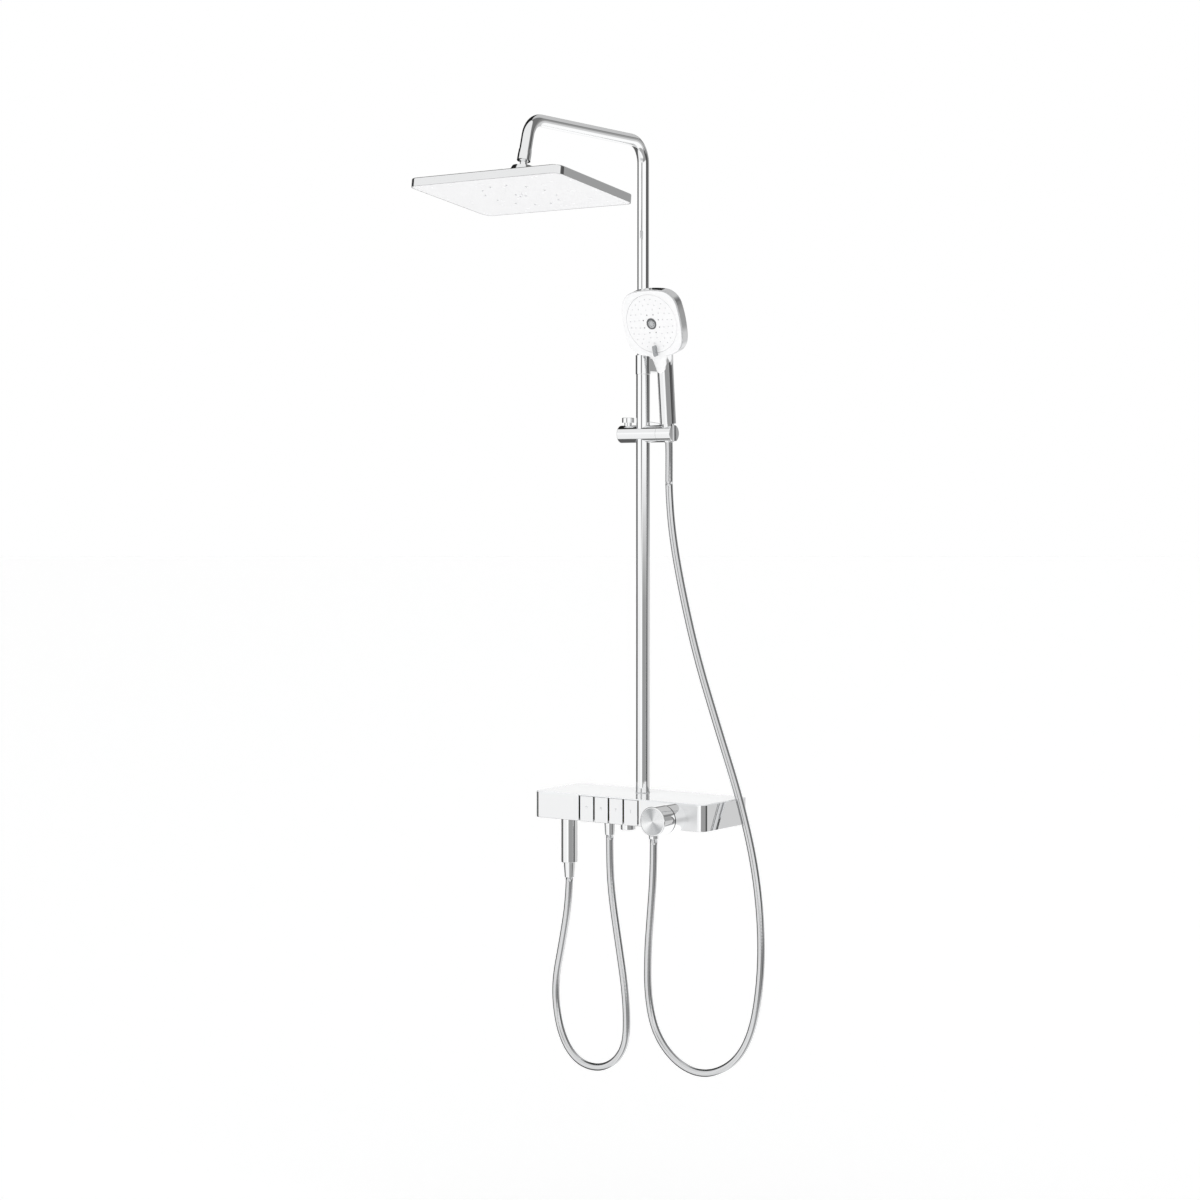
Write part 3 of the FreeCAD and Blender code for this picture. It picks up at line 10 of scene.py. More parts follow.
# %% Load the designed pieces
import math
import bpy
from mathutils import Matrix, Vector


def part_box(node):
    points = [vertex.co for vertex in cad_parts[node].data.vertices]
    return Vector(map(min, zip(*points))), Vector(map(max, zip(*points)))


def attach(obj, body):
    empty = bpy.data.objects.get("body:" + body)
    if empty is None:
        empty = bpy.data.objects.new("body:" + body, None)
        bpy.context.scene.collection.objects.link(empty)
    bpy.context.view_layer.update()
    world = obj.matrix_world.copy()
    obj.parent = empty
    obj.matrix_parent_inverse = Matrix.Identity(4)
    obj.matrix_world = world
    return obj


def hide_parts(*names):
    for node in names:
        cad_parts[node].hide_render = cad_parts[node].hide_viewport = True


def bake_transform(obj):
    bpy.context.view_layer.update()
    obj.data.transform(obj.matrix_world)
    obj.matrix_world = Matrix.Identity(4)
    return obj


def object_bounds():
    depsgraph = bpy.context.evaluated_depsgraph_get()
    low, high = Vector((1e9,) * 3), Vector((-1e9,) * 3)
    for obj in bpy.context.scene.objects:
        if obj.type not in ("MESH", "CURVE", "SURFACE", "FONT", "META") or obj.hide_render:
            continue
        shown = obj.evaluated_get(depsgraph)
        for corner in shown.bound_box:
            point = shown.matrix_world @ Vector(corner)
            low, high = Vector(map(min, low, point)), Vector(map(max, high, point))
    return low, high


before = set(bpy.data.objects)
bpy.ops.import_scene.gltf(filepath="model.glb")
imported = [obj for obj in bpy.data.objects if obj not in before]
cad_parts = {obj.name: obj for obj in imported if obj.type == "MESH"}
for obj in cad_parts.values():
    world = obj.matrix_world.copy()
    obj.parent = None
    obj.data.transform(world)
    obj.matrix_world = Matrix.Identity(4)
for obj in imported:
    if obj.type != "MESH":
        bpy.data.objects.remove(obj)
designed_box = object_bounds()

# %% [markdown]
# ## The camera
# A camera that stands to the right of the column, a little above the middle of it, sees the shelf's
# right end and the front together. Its place is given from the riser, because the riser is the line
# that everything else is built on. The lens is long, so that upright lines stay nearly parallel.

# %% Stand the camera
riser_low, riser_high = (Vector(corner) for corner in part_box("lower_riser"))
riser_axis = (riser_low + riser_high) / 2
camera_from_riser = Vector((2.606, -3.788, 0.579))
camera_turn = 35.53
camera_drop = 2.38
camera_data = bpy.data.cameras.new("studio_camera")
camera_data.sensor_width = 36.0
camera_data.lens = 73.53
camera_data.clip_end = 60.0
camera = bpy.data.objects.new("studio_camera", camera_data)
bpy.context.scene.collection.objects.link(camera)
camera.location = (riser_axis.x + camera_from_riser.x, riser_axis.y + camera_from_riser.y, camera_from_riser.z)
camera.rotation_euler = (math.radians(90 - camera_drop), 0, math.radians(camera_turn))
bpy.context.scene.camera = camera
print("camera at", [round(c, 3) for c in camera.location])

# %% [markdown]
# ## Two hoses
# A shower hose is a fixed length of something springy. It leaves its nut in line with it, falls, turns
# in one wide loop and climbs back to its outlet. A NURBS curve with a handful of control points gives
# such a line: it has no corners, and each point only pulls it.
#
# The hoses have to follow the pieces that they hang from, and a blend works on a mesh. So the smooth line
# The smooth line is read back as points, and a round tube is swept along them.
# The handset's hose is made in two lengths that meet below the bar. The long one hangs between the shelf
# and the slider. The short one goes on up inside the hollow handle.

# %% The routes, in metres, from the top end to the outlet under the shelf
centimetre = 0.01
hose_radius = 0.007
handset_route = [
    (0.0575, -0.0716, 0.7159), (0.0575, -0.06765, 0.6741), (0.056, -0.0656, 0.638), (0.0555, -0.0652, 0.590),
    (0.064, -0.067, 0.512), (0.086, -0.069, 0.412), (0.121, -0.070, 0.285), (0.168, -0.070, 0.155),
    (0.217, -0.070, 0.025), (0.254, -0.073, -0.105), (0.270, -0.078, -0.237), (0.264, -0.084, -0.350),
    (0.244, -0.088, -0.421), (0.208, -0.092, -0.465), (0.152, -0.096, -0.487), (0.096, -0.100, -0.470),
    (0.052, -0.104, -0.420), (0.037, -0.107, -0.350), (0.038, -0.109, -0.270), (0.046, -0.1105, -0.190),
    (0.052, -0.110, -0.115), (0.052, -0.110, -0.054),
]
inside_handle = (0.0575, -0.0747, 0.7488)
hose_joint = 0.610
gun_route = [
    (-0.142, -0.110, -0.143), (-0.1435, -0.110, -0.188), (-0.158, -0.110, -0.265), (-0.177, -0.110, -0.350),
    (-0.170, -0.110, -0.420), (-0.150, -0.110, -0.468), (-0.118, -0.110, -0.496), (-0.077, -0.110, -0.502),
    (-0.039, -0.110, -0.487), (-0.014, -0.110, -0.455), (-0.008, -0.110, -0.414), (-0.012, -0.110, -0.345),
    (-0.028, -0.110, -0.255), (-0.043, -0.110, -0.170), (-0.048, -0.110, -0.108), (-0.048, -0.110, -0.054),
]


def smooth_line(route, steps):
    """The points of the NURBS line through a route, and the curve that gave them."""
    data = bpy.data.curves.new("route", "CURVE")
    data.dimensions = "3D"
    data.resolution_u = steps
    spline = data.splines.new("NURBS")
    spline.points.add(len(route) - 1)
    for point, place in zip(spline.points, route):
        point.co = (*place, 1.0)
    spline.order_u = 3
    spline.use_endpoint_u = True
    line = bpy.data.objects.new("route", data)
    mesh = bpy.data.meshes.new_from_object(line)
    points = [v.co.copy() for v in mesh.vertices]
    bpy.data.objects.remove(line)
    return points


def length_of(points):
    return sum((b - a).length for a, b in zip(points, points[1:]))


handset_line = smooth_line([inside_handle] + handset_route, 10)
gun_line = smooth_line(gun_route, 10)
meeting = next(k for k, point in enumerate(handset_line) if point.z < hose_joint)
upper_line, long_line = handset_line[:meeting + 1], handset_line[meeting:]
print("handset hose", round(length_of(long_line), 3), "m below its joint; gun hose",
      round(length_of(gun_line), 3), "m")


# %% [markdown]
# A tube could be the curve itself with a bevel, but a curve has no mesh. So rings are placed one by one
# along the line. Each ring starts from the one before, or the tube would twist.

# %% Sweep a round tube along a line
def tube(name, line, radius, sides=32):
    """A capped tube; its rings turn as little as they can from one to the next."""
    ahead = (line[1] - line[0]).normalized()
    side = ahead.orthogonal().normalized()
    verts, faces = [], []
    for k, at in enumerate(line):
        before, after = line[max(k - 1, 0)], line[min(k + 1, len(line) - 1)]
        ahead = (after - before).normalized()
        side = (side - ahead * side.dot(ahead)).normalized()
        up = ahead.cross(side)
        for j in range(sides):
            turn = 2 * math.pi * j / sides
            verts.append(at + (side * math.cos(turn) + up * math.sin(turn)) * radius)
    for k in range(len(line) - 1):
        for j in range(sides):
            a, b = k * sides + j, k * sides + (j + 1) % sides
            faces.append((a, b, b + sides, a + sides))
    faces.append(tuple(reversed(range(sides))))
    faces.append(tuple(range(len(verts) - sides, len(verts))))
    mesh = bpy.data.meshes.new(name)
    mesh.from_pydata(verts, [], faces)
    uv = mesh.uv_layers.new(name="along")
    travelled = [0.0]
    for a, b in zip(line, line[1:]):
        travelled.append(travelled[-1] + (b - a).length)
    for polygon in mesh.polygons:
        polygon.use_smooth = len(polygon.vertices) == 4
        if len(polygon.vertices) != 4:
            continue
        for corner, (dk, dj) in zip(polygon.loop_indices, ((0, 0), (0, 1), (1, 1), (1, 0))):
            k, j = divmod(polygon.index, sides)
            uv.data[corner].uv = ((j + dj) / sides, travelled[k + dk] / centimetre)
    made = bpy.data.objects.new(name, mesh)
    bpy.context.scene.collection.objects.link(made)
    return made


handset_hose = tube("handset_hose_long", long_line, hose_radius)
handset_hose_top = tube("handset_hose_top", upper_line, hose_radius)
gun_hose = tube("gun_hose_tube", gun_line, hose_radius)
print("tubes", [len(hose.data.vertices) for hose in (handset_hose, handset_hose_top, gun_hose)], "points")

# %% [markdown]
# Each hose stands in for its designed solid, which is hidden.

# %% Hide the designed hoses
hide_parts("handset_hose")
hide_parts("gun_hose")
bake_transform(handset_hose)
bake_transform(handset_hose_top)
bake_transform(gun_hose)
length_of(long_line)
length_of(gun_line)

# %% [markdown]
# ## Shader arithmetic
# A procedural finish is arithmetic on numbers that vary over a surface. Wrapping a socket in a small
# class lets that arithmetic be written as it is thought of, `0.2 + noise * 0.1`, while the Math nodes
# are added behind the scenes.

# %% A socket that can be added and multiplied
class Signal:
    """A number that varies over a surface; sums and products of signals add Math nodes."""

    def __init__(self, finish, socket):
        self.finish = finish
        self.socket = socket

    def combine(self, operation, first, second):
        return self.finish.node("ShaderNodeMath", {"operation": operation}, {0: first, 1: second})[0]

    def __add__(self, other):
        return self.combine("ADD", self, other)

    def __radd__(self, other):
        return self.combine("ADD", other, self)

    def __sub__(self, other):
        return self.combine("SUBTRACT", self, other)

    def __rsub__(self, other):
        return self.combine("SUBTRACT", other, self)

    def __mul__(self, other):
        return self.combine("MULTIPLY", self, other)

    def __rmul__(self, other):
        return self.combine("MULTIPLY", other, self)

    def __truediv__(self, other):
        return self.combine("DIVIDE", self, other)

    def __rtruediv__(self, other):
        return self.combine("DIVIDE", other, self)

    def __pow__(self, other):
        return self.combine("POWER", self, other)

    def __lt__(self, other):
        return self.combine("LESS_THAN", self, other)

    def __gt__(self, other):
        return self.combine("GREATER_THAN", self, other)


class Graph:
    """A node tree with a single way to add any node."""

    def __init__(self, tree):
        self.tree = tree

    def connect(self, value, socket):
        if isinstance(value, Signal):
            self.tree.links.new(value.socket, socket)
        else:
            socket.default_value = value

    def node(self, kind, settings=None, inputs=None):
        """Adds a node, applies its settings, fills its sockets and returns its outputs as signals."""
        made = self.tree.nodes.new(kind)
        for key, value in (settings or {}).items():
            if key == "stops":
                self.set_stops(made.color_ramp, value)
            else:
                setattr(made, key, value)
        for key, value in (inputs or {}).items():
            self.connect(value, made.inputs[key])
        return [Signal(self, output) for output in made.outputs]

    def blend_colours(self, share, first, second):
        """Mixes two colours by a share from 0 to 1."""
        made = self.node("ShaderNodeMix", {"data_type": "RGBA"})
        mix = made[0].socket.node
        self.connect(share, mix.inputs[0])
        self.connect(first, mix.inputs[6])
        self.connect(second, mix.inputs[7])
        return Signal(self, mix.outputs[2])

    @staticmethod
    def set_stops(ramp, stops):
        while len(ramp.elements) < len(stops):
            ramp.elements.new(1.0)
        for element, (place, colour) in zip(ramp.elements, stops):
            element.position = place
            element.color = (*colour, 1.0)


class Finish(Graph):
    """One material: the graph that feeds its main shader."""

    def __init__(self, name):
        self.material = bpy.data.materials.new(name)
        self.material.use_nodes = True
        super().__init__(self.material.node_tree)
        self.shader = self.tree.nodes["Principled BSDF"]

    def set(self, **values):
        """Fills sockets of the main shader: base_color=... means the socket Base Color."""
        for key, value in values.items():
            self.connect(value, self.shader.inputs[key.replace("_", " ").title().replace("Ior", "IOR")])
        return self

    def place(self):
        """The point on the object, in metres."""
        return self.node("ShaderNodeTexCoord")[3]

    def noise(self, scale, detail=3.0, roughness=0.55):
        return self.node("ShaderNodeTexNoise", None, {"Vector": self.place(), "Scale": scale,
                                                      "Detail": detail, "Roughness": roughness})[0]

    def bump(self, height, distance, strength=1.0):
        out = self.node("ShaderNodeBump", None, {"Height": height, "Distance": distance,
                                                 "Strength": strength})[0]
        self.connect(out, self.shader.inputs["Normal"])
        return self


print("shader tools ready")


def dress(finish, *names):
    """Gives a finish to designed pieces by name."""
    for name in names:
        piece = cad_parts[name]
        piece.data.materials.clear()
        piece.data.materials.append(finish.material)


# %% [markdown]
# ## Chrome
# Chrome plating is a mirror with almost no colour. On real plating the polish varies a little: there are
# water marks, and the faintest ripple from the buffing wheel. Those go into roughness and a very low bump.
# Plated plastic is a shade softer than plated brass.

# %% Chrome for brass parts, and a slightly softer one for plated plastic
def chrome(name, tint, polish, ripple):
    finish = Finish(name)
    marks = finish.noise(38.0, 4.0)
    smear = finish.noise(6.5, 2.0)
    finish.set(metallic=1.0, roughness=polish + marks * 0.03 + smear * 0.02)
    finish.set(base_color=finish.blend_colours(smear, (*tint, 1), (*[c * 0.965 for c in tint], 1)))
    return finish.bump(finish.noise(14.0, 2.0), ripple)


polished_tint = (0.90, 0.905, 0.91)
tube_chrome = chrome("polished_chrome", polished_tint, 0.01, 0.00004)
soft_chrome = chrome("plated_plastic", (0.88, 0.885, 0.89), 0.03, 0.00008)
dress(tube_chrome, "lower_riser", "wall_bracket", "gooseneck_arm",
      "ball_joint_nut", "swivel_ball", "slider_bar", "release_button", "holder_end", "handset_cone_nut",
      "bottom_spout", "outlet_nipples", "handset_hose_end_nut", "gun_hose_end_nut", "spray_gun_body",
      "spray_gun_tail", "inlet_union_nuts")
dress(soft_chrome, "handset_shell", "overhead_shell")
print("chrome on the tubes and fittings")

# %% [markdown]
# The long front of the shelf and the keys' fronts are taken to be plated over a finely blasted face: they
# stay bright and show only a vague picture of the knob. The turned corners are polished. The two are told
# apart by how far a surface faces the front.

# %% A satin front
satin = chrome("satin_front", (0.93, 0.935, 0.94), 0.012, 0.00004)
faces_front = 0 - satin.node("ShaderNodeSeparateXYZ", None, {0: satin.node("ShaderNodeTexCoord")[1]})[1]
straight_ahead = 0.995
blasted = 0.33
satin.set(roughness=0.015 + (faces_front > straight_ahead) * blasted + satin.noise(38.0, 4.0) * 0.03)
dress(satin, "shelf_housing", "rain_key", "handset_key", "spout_key", "gun_key")
print("satin front on the shelf and its keys")

# %% [markdown]
# A narrow groove parts the knob from its sleeve, and it reads as a dark line. The groove alone comes out
# too light in this bright room, so painted shade darkens the chrome over the last millimetre of each piece.

# %% The dark line round the knob
knob_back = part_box("temperature_knob")[1][1]
sleeve_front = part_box("knob_sleeve")[0][1]
groove_middle = (knob_back + sleeve_front) / 2
groove_shade_reach = 0.0018
groove_shaded_chrome = chrome("chrome_with_painted_groove_shade", polished_tint, 0.01, 0.00004)
past = groove_shaded_chrome.node("ShaderNodeSeparateXYZ", None, {0: groove_shaded_chrome.place()})[1] - groove_middle
from_groove = (past * past) ** 0.5
# Painted shade: within this reach of the groove's middle, the chrome is drawn near black.
groove_shaded_chrome.set(base_color=groove_shaded_chrome.blend_colours(from_groove < groove_shade_reach, (*polished_tint, 1),
                                             (0.08, 0.08, 0.085, 1)))
dress(groove_shaded_chrome, "temperature_knob", "knob_sleeve")
print("groove", round((sleeve_front - knob_back) * 1000, 1), "mm wide")

# %% [markdown]
# ## The knob's spun disc
# A disc faced on a lathe keeps the tool's fine circles. They spread every reflection across the line of
# the cut, which is why such a disc shows bright and dark sectors that meet in the middle. Here those
# sectors are painted reflection, a slow wave of the angle round the disc in the base colour, and the circles
# are a bump of the radius.

# %% Spun metal
disc_low, disc_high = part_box("knob_disc")
disc_middle = (Vector(disc_low) + Vector(disc_high)) / 2
spun = Finish("spun_metal")
disc_x, disc_y, disc_z = spun.node("ShaderNodeSeparateXYZ", None, {0: spun.place()})
off_x, off_z = disc_x - disc_middle.x, disc_z - disc_middle.z
disc_turn = spun.node("ShaderNodeMath", {"operation": "ARCTAN2"}, {0: off_z, 1: off_x})[0]
disc_radius = (off_x * off_x + off_z * off_z) ** 0.5


def wave(finish, value):
    """A sine, moved up to run from 0 to 1."""
    return finish.node("ShaderNodeMath", {"operation": "SINE"}, {0: value})[0] * 0.5 + 0.5


# Painted reflection: the disc's bright and dark sectors are drawn into its colour.
painted_sectors = wave(spun, disc_turn * 2 + 0.7) * 0.75 + wave(spun, disc_turn * 5 + 2.0) * 0.25
spun.set(base_color=spun.blend_colours(painted_sectors, (0.40, 0.41, 0.42, 1), (0.93, 0.935, 0.94, 1)))
spun.set(metallic=1.0, roughness=0.24 + spun.noise(900.0) * 0.08)
spun.bump(wave(spun, disc_radius * 14000.0), 0.00001)
dress(spun, "knob_disc")
print("disc", round((disc_high[0] - disc_low[0]) * 500, 1), "mm in radius")

# %% [markdown]
# ## White surfaces
# The shelf top is back-painted glass: pure gloss over white. The spray faces are moulded plastic with a
# fine satin grain, so their highlights are soft.

# %% White glass and white plastic
white_glass = Finish("white_glass")
white_glass.set(base_color=white_glass.blend_colours(white_glass.noise(3.0), (0.90, 0.91, 0.92, 1),
                                                     (0.86, 0.87, 0.885, 1)))
white_glass.set(roughness=0.03 + white_glass.noise(30.0) * 0.03, coat_weight=0.6, coat_roughness=0.02)
dress(white_glass, "shelf_top_glass")


def moulded(name, light, dark, roughness, grain_scale, grain_height):
    finish = Finish(name)
    finish.set(base_color=finish.blend_colours(finish.noise(5.0), (*light, 1), (*dark, 1)))
    finish.set(roughness=roughness + finish.noise(60.0) * 0.08)
    return finish.bump(finish.noise(grain_scale, 2.0), grain_height)


def white_moulding(name):
    return moulded(name, (0.90, 0.90, 0.905), (0.87, 0.87, 0.88), 0.22, 1800.0, 0.000015)


def grey_rubber(name):
    return moulded(name, (0.62, 0.63, 0.64), (0.56, 0.57, 0.58), 0.5, 2600.0, 0.00002)


white_plastic = white_moulding("white_plastic")
dress(white_plastic, "overhead_face")
silicone = grey_rubber("grey_silicone")
dress(silicone, "overhead_nozzles", "inlet_gaskets", "riser_base_seal")
grey_plastic = moulded("inner_plastic", (0.50, 0.51, 0.53), (0.44, 0.45, 0.47), 0.45, 1500.0, 0.00003)
dress(grey_plastic, "shelf_back_cover", "riser_liner", "guide_bush", "overhead_collar",
      "overhead_water_plate", "slider_bush", "handset_flow_plate", "thermostatic_cartridge", "gun_socket",
      "spout_aerator", "spray_gun_nozzle")
rubber = moulded("black_rubber", (0.03, 0.03, 0.03), (0.02, 0.02, 0.02), 0.6, 2600.0, 0.00003)
dress(rubber, "riser_o_rings")
steel = moulded("plain_steel", (0.62, 0.63, 0.65), (0.55, 0.56, 0.58), 0.25, 900.0, 0.00001)
steel.set(metallic=1.0)
dress(steel, "shelf_screws", "bracket_foot", "bracket_grub_screw", "key_springs", "release_spring",
      "overhead_screws", "holder_pivot_screw")
brass = moulded("turned_brass", (0.78, 0.60, 0.30), (0.70, 0.52, 0.25), 0.28, 700.0, 0.00002)
brass.set(metallic=1.0)
dress(brass, "valve_body", "push_valves", "cartridge_spindle", "riser_nut")
print("plain finishes done")

# %% [markdown]
# ## The dial
# The dial is white, but the tab that turns it is plated, and the jets nearest the middle are a darker
# rubber. Both are told apart by where they are: the tab stands in front of the dial's face, and the inner
# jets are within about two centimetres of its centre. The boss in the middle is darker inside its ring.

# %% The dial's face leans forward, so distances are taken along its own normal
dial_low, dial_high = (Vector(corner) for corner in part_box("dial_centre"))
dial_middle = (dial_low + dial_high) / 2
dial_lean = math.radians(18)
dial = white_moulding("dial_plastic")
_, dial_y, dial_z = dial.node("ShaderNodeSeparateXYZ", None, {0: dial.place()})
in_front = (dial_middle.y - dial_y) * math.cos(dial_lean) + (dial_middle.z - dial_z) * math.sin(dial_lean)
tab_start = 0.0042
on_tab = in_front > tab_start
dial.set(base_color=dial.blend_colours(on_tab, (0.90, 0.90, 0.905, 1), (0.40, 0.41, 0.42, 1)))
dial.set(metallic=on_tab * 1.0, roughness=0.22 - on_tab * 0.12)
dress(dial, "spray_dial")

print("tab starts", tab_start * 1000, "mm in front of the dial's middle")


# %% The jets and the boss
def from_dial_middle(finish):
    return finish.node("ShaderNodeVectorMath", {"operation": "DISTANCE"},
                       {0: finish.place(), 1: tuple(dial_middle)})[1]


inner_jets_radius = 0.021
jets = grey_rubber("dial_rubber")
jets.set(base_color=jets.blend_colours(from_dial_middle(jets) < inner_jets_radius, (0.66, 0.67, 0.68, 1),
                                       (0.22, 0.22, 0.23, 1)))
dress(jets, "dial_nozzles")

boss_ring_radius = 0.0082
boss = chrome("dial_boss", (0.42, 0.43, 0.44), 0.12, 0.00004)
boss.set(base_color=boss.blend_colours(from_dial_middle(boss) < boss_ring_radius, (0.16, 0.165, 0.17, 1),
                                       (0.55, 0.56, 0.57, 1)))
dress(boss, "dial_centre")
print("dial dressed")

# %% [markdown]
# The white frame round the dial has a rounded rim, which gets lost against a white room. Shade is painted
# on it: it is drawn greyer wherever the frame turns away from the dial's own direction, above the tongue on
# the handle.

# %% Painted shade on the rim
rim_turn = 0.93
tongue_top = dial_middle.z - 0.058
rim = white_moulding("frame_plastic_painted_rim_shade")
_, turn_y, turn_z = rim.node("ShaderNodeSeparateXYZ", None, {0: rim.node("ShaderNodeTexCoord")[1]})
facing = 0 - turn_y * math.cos(dial_lean) - turn_z * math.sin(dial_lean)
rim_height = rim.node("ShaderNodeSeparateXYZ", None, {0: rim.place()})[2]
# Painted shade: where the frame turns away, its white is drawn grey.
shaded_rim_mask = (facing < rim_turn) * (rim_height > tongue_top)
rim.set(base_color=rim.blend_colours(shaded_rim_mask, (0.90, 0.90, 0.905, 1), (0.60, 0.605, 0.61, 1)))
dress(rim, "handset_face")
print("rim drawn")

# %% [markdown]
# ## The hose's skin
# The hoses are smooth plastic over silvered foil. The foil is wound on, so its light and dark run round
# the hose in a very slow spiral under a clear coat. The tubes carry a map of the way round and the way
# along, in centimetres, which the spiral is drawn on.

# %% Silver hose
silver = Finish("silver_hose")
mapped = silver.node("ShaderNodeUVMap", {"uv_map": "along"})[0]
way_round, way_along, _ = silver.node("ShaderNodeSeparateXYZ", None, {0: mapped})
winding = wave(silver, (way_along * 4.0 + way_round) * (2 * math.pi))
silver.set(base_color=silver.blend_colours(winding, (0.64, 0.645, 0.655, 1), (0.70, 0.705, 0.71, 1)))
silver.set(metallic=1.0, roughness=0.05 + silver.noise(45.0) * 0.03, coat_weight=0.1, coat_roughness=0.04)
silver.bump(winding, 0.00003)
for hose in (handset_hose, handset_hose_top, gun_hose):
    hose.data.materials.append(silver.material)
print("hoses dressed")

# %% [markdown]
# ## Marks on the keys
# Each key gets a plain sign of the outlet that it opens: a rain plate, a handset, a spout and a gun. They
# are faint, so they are thin inlays a shade darker than the chrome. Each is a few bars and
# dots, in millimetres from the middle of the mark, and rides on its key.

# %% Bars and dots
def bar_shape(x, z, width, height):
    return [(x - width / 2, z - height / 2), (x + width / 2, z - height / 2),
            (x + width / 2, z + height / 2), (x - width / 2, z + height / 2)]


def dot_shape(x, z, radius, sides=20):
    return [(x + radius * math.cos(2 * math.pi * k / sides), z + radius * math.sin(2 * math.pi * k / sides))
            for k in range(sides)]


key_marks = {
    "rain_key": [bar_shape(0, 1.6, 7.0, 0.9), bar_shape(0, 2.9, 0.9, 1.8)]
                + [bar_shape(x, z, 0.5, 1.1) for x in (-2.4, 0, 2.4) for z in (0.1, -1.8)],
    "handset_key": [dot_shape(-0.8, 1.6, 1.9), bar_shape(1.7, 0.1, 0.9, 5.6)]
                   + [bar_shape(x, -1.9, 0.5, 1.1) for x in (-2.2, -0.8, 0.6)],
    "spout_key": [bar_shape(0, 2.6, 5.0, 1.0), bar_shape(0, 1.4, 2.4, 1.4), dot_shape(0, -1.4, 0.9)],
    "gun_key": [bar_shape(0, -1.0, 1.6, 4.6), bar_shape(0, 2.1, 2.6, 1.2)]
               + [dot_shape(x, 3.8, 0.35) for x in (-1.2, 0, 1.2)],
}
print("marks for", list(key_marks))


# %% [markdown]
# A mark could be painted in the key's material, but its edges would then depend on how finely the key is
# lit. A thin plate keeps them sharp. It sinks a little into the key, so no gap shows under it.

# %% Lay the marks on their keys
mark_proud = 0.00006
mark_sunk = 0.0004
mark_rise = Vector((0, 0, 0.0025))


def inlay(name, shapes, middle, front):
    """Flat plates that stand a hair proud of a key's front."""
    verts, faces = [], []
    for shape in shapes:
        first, count = len(verts), len(shape)
        for depth in (-mark_proud, mark_sunk):
            verts += [(middle.x + x / 1000, front + depth, middle.z + z / 1000) for x, z in shape]
        faces.append(tuple(first + k for k in range(count)))
        faces.append(tuple(first + count + k for k in reversed(range(count))))
        for k in range(count):
            after = (k + 1) % count
            faces.append((first + after, first + k, first + count + k, first + count + after))
    mesh = bpy.data.meshes.new(name)
    mesh.from_pydata(verts, [], faces)
    made = bpy.data.objects.new(name, mesh)
    bpy.context.scene.collection.objects.link(made)
    return made


printed = moulded("printed_mark", (0.66, 0.67, 0.68), (0.62, 0.63, 0.64), 0.35, 900.0, 0.00001)
for key, shapes in key_marks.items():
    low, high = (Vector(corner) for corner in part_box(key))
    mark = inlay(key + "_mark", shapes, (low + high) / 2 + mark_rise, low.y)
    mark.data.materials.append(printed.material)
    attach(mark, key)
print("marks laid on", len(key_marks), "keys")

# %% [markdown]
# ## The studio
# Polished metal shows only what stands round it, so the room is what draws it. It is a pale room with a
# few grey stretches: they give the upright tubes their dark lines, and a dark corner of the ceiling gives
# the level bar its dark top.
#
# The floor stays out of the reflections, so that the chrome's undersides take the room's own lower half,
# and the lamp under it shines through it. It also glows a little, to come close to the white behind it.

# %% Floor
floor_data = bpy.data.meshes.new("studio_floor")
floor_drop = 0.35
floor_z = designed_box[0][2] - floor_drop
reach = 60.0
floor_data.from_pydata([(-reach, -reach, floor_z), (reach, -reach, floor_z), (reach, reach, floor_z),
                        (-reach, reach, floor_z)], [], [(0, 1, 2, 3)])
floor = bpy.data.objects.new("studio_floor", floor_data)
bpy.context.scene.collection.objects.link(floor)
floor.visible_glossy = False
floor.visible_shadow = False
paper = Finish("studio_paper")
paper.set(base_color=(0.97, 0.97, 0.97, 1), roughness=0.9)
paper.set(emission_color=(1, 1, 1, 1), emission_strength=0.36)
floor_data.materials.append(paper.material)
print("floor at", round(floor_z, 3))

# %% [markdown]
# The room is painted by bearing, as on a compass, and by height. Half a turn is the camera's side, and
# 0 and 1 meet behind the column. Greys are given as they look on a screen, which is easier to judge.

# %% Bearings in the room
world = bpy.data.worlds.new("studio_room")
bpy.context.scene.world = world
world.use_nodes = True
room = Graph(world.node_tree)
direction = room.node("ShaderNodeTexCoord")[0]
across, into, up = room.node("ShaderNodeSeparateXYZ", None, {0: direction})
turn = room.node("ShaderNodeMath", {"operation": "ARCTAN2"}, {0: across, 1: 0 - into})[0]
around = turn / (2 * math.pi) + (0.5 - camera_turn / 360)
around = room.node("ShaderNodeMath", {"operation": "FRACT"}, {0: around})[0]


def shade(seen):
    """The strength of light that looks like this grey on a screen, where 1 is white."""
    return ((seen + 0.055) / 1.055) ** 2.4


def stretch(bands, edge=1.5):
    """Walls of given greys, each from its bearing in degrees on; 0 is the camera's side."""
    stops = []
    for (start, seen), (end, _) in zip(bands, bands[1:] + [(180, 0)]):
        value = shade(seen)
        stops += [(0.5 + (start + edge) / 360, (value,) * 3), (0.5 + (end - edge) / 360, (value,) * 3)]
    return room.node("ShaderNodeValToRGB", {"stops": stops}, {0: around})[0]


def rising(value, low, high):
    return room.node("ShaderNodeMapRange", {"interpolation_type": "SMOOTHSTEP"},
                     {0: value, 1: low, 2: high})[0]


print("bearings ready")
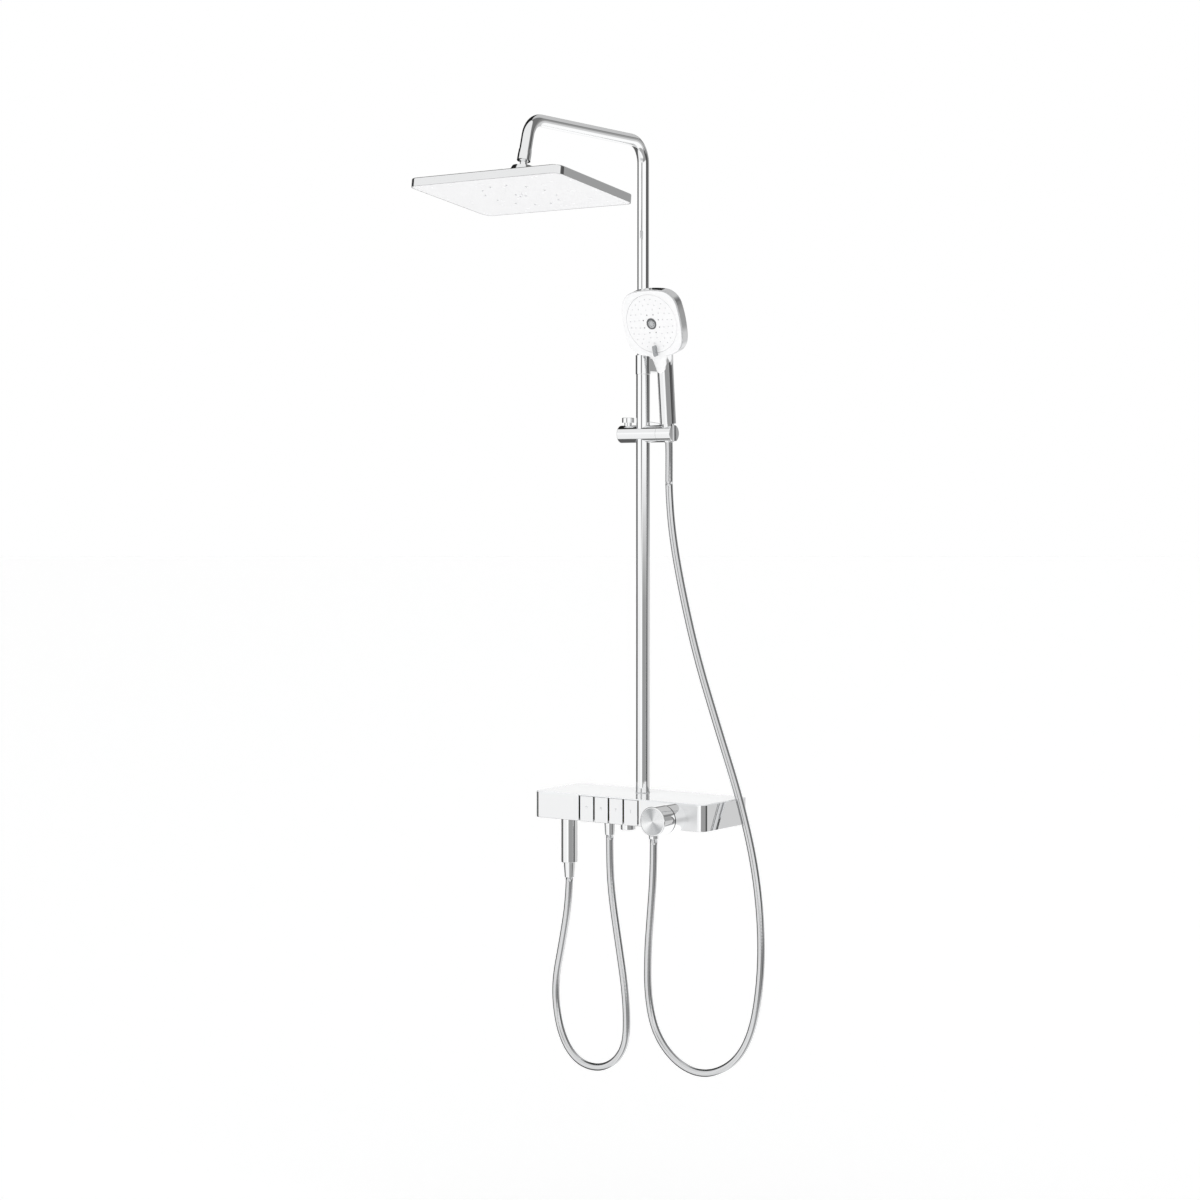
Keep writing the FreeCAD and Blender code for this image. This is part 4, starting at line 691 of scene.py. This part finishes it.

# %% [markdown]
# Upright tubes take their stripes from the walls, level bars from the ceiling and the lower half. The
# greys and their bearings were set until each stripe fell where it should.

# %% Walls, ceiling and lower half
high_walls = stretch([(-180, 1.0), (-166, 0.34), (-100, 1.0), (-36, 0.52), (-17, 1.0), (54, 0.32),
                      (100, 0.62), (160, 1.0)])
low_walls = stretch([(-180, 0.92), (-155, 0.40), (-96, 0.96), (-38, 1.0), (-12, 0.60), (56, 0.30),
                     (84, 0.80), (165, 0.92)])
walls = room.blend_colours(rising(up, -0.05, 0.03), low_walls, high_walls)
ceiling = stretch([(-180, 0.12), (-98, 0.93), (55, 0.45), (112, 0.76)], 4.0)
low_half = stretch([(-180, 0.36), (-95, 0.95), (-30, 1.0), (10, 0.66), (70, 1.0)], 4.0)
pattern = room.blend_colours(rising(up, 0.17, 0.30), walls, ceiling)
pattern = room.blend_colours(rising(0 - up, 0.22, 0.40), pattern, low_half)
beam = rising(up, 0.27, 0.30) * rising(0 - up, -0.44, -0.40) * rising(around, 0.77, 0.78)
pattern = room.blend_colours(beam, pattern, (shade(0.52),) * 3 + (1,))
print("room painted")

# %% [markdown]
# The pattern would look odd behind the column. So rays that come straight from the camera see white, and
# all others see the room.

# %% White for the camera, the room for everything else
background = room.tree.nodes["Background"]
room.connect(pattern, background.inputs["Color"])
background.inputs["Strength"].default_value = 1.1
white = room.node("ShaderNodeBackground", None, {"Color": (1, 1, 1, 1), "Strength": 1.0})[0]
from_camera = room.node("ShaderNodeLightPath")[0]
painted = Signal(room, background.outputs[0])
chosen = room.node("ShaderNodeMixShader", None, {0: from_camera, 1: painted, 2: white})[0]
room.connect(chosen, room.tree.nodes["World Output"].inputs["Surface"])
print("room ready")


# %% [markdown]
# Three lamps as wide as diffusers fill in the white parts, which the painted room leaves a little dull.

# %% Soft lamps
def soft_lamp(name, toward, strength, spread):
    """A sun as wide as a big diffuser, shining along a direction; polished metal doesn't show it."""
    data = bpy.data.lights.new(name, "SUN")
    data.energy = strength
    data.angle = math.radians(spread)
    lamp = bpy.data.objects.new(name, data)
    lamp.rotation_euler = Vector(toward).to_track_quat("-Z", "Y").to_euler()
    lamp.visible_glossy = False
    bpy.context.scene.collection.objects.link(lamp)


soft_lamp("front_diffuser", (-0.35, 0.60, -0.72), 0.45, 100)
soft_lamp("side_diffuser", (0.75, 0.30, -0.40), 0.2, 120)
soft_lamp("under_diffuser", (0.0, 0.25, 0.97), 0.8, 110)
bpy.context.scene.view_settings.view_transform = "Standard"
print("studio ready")
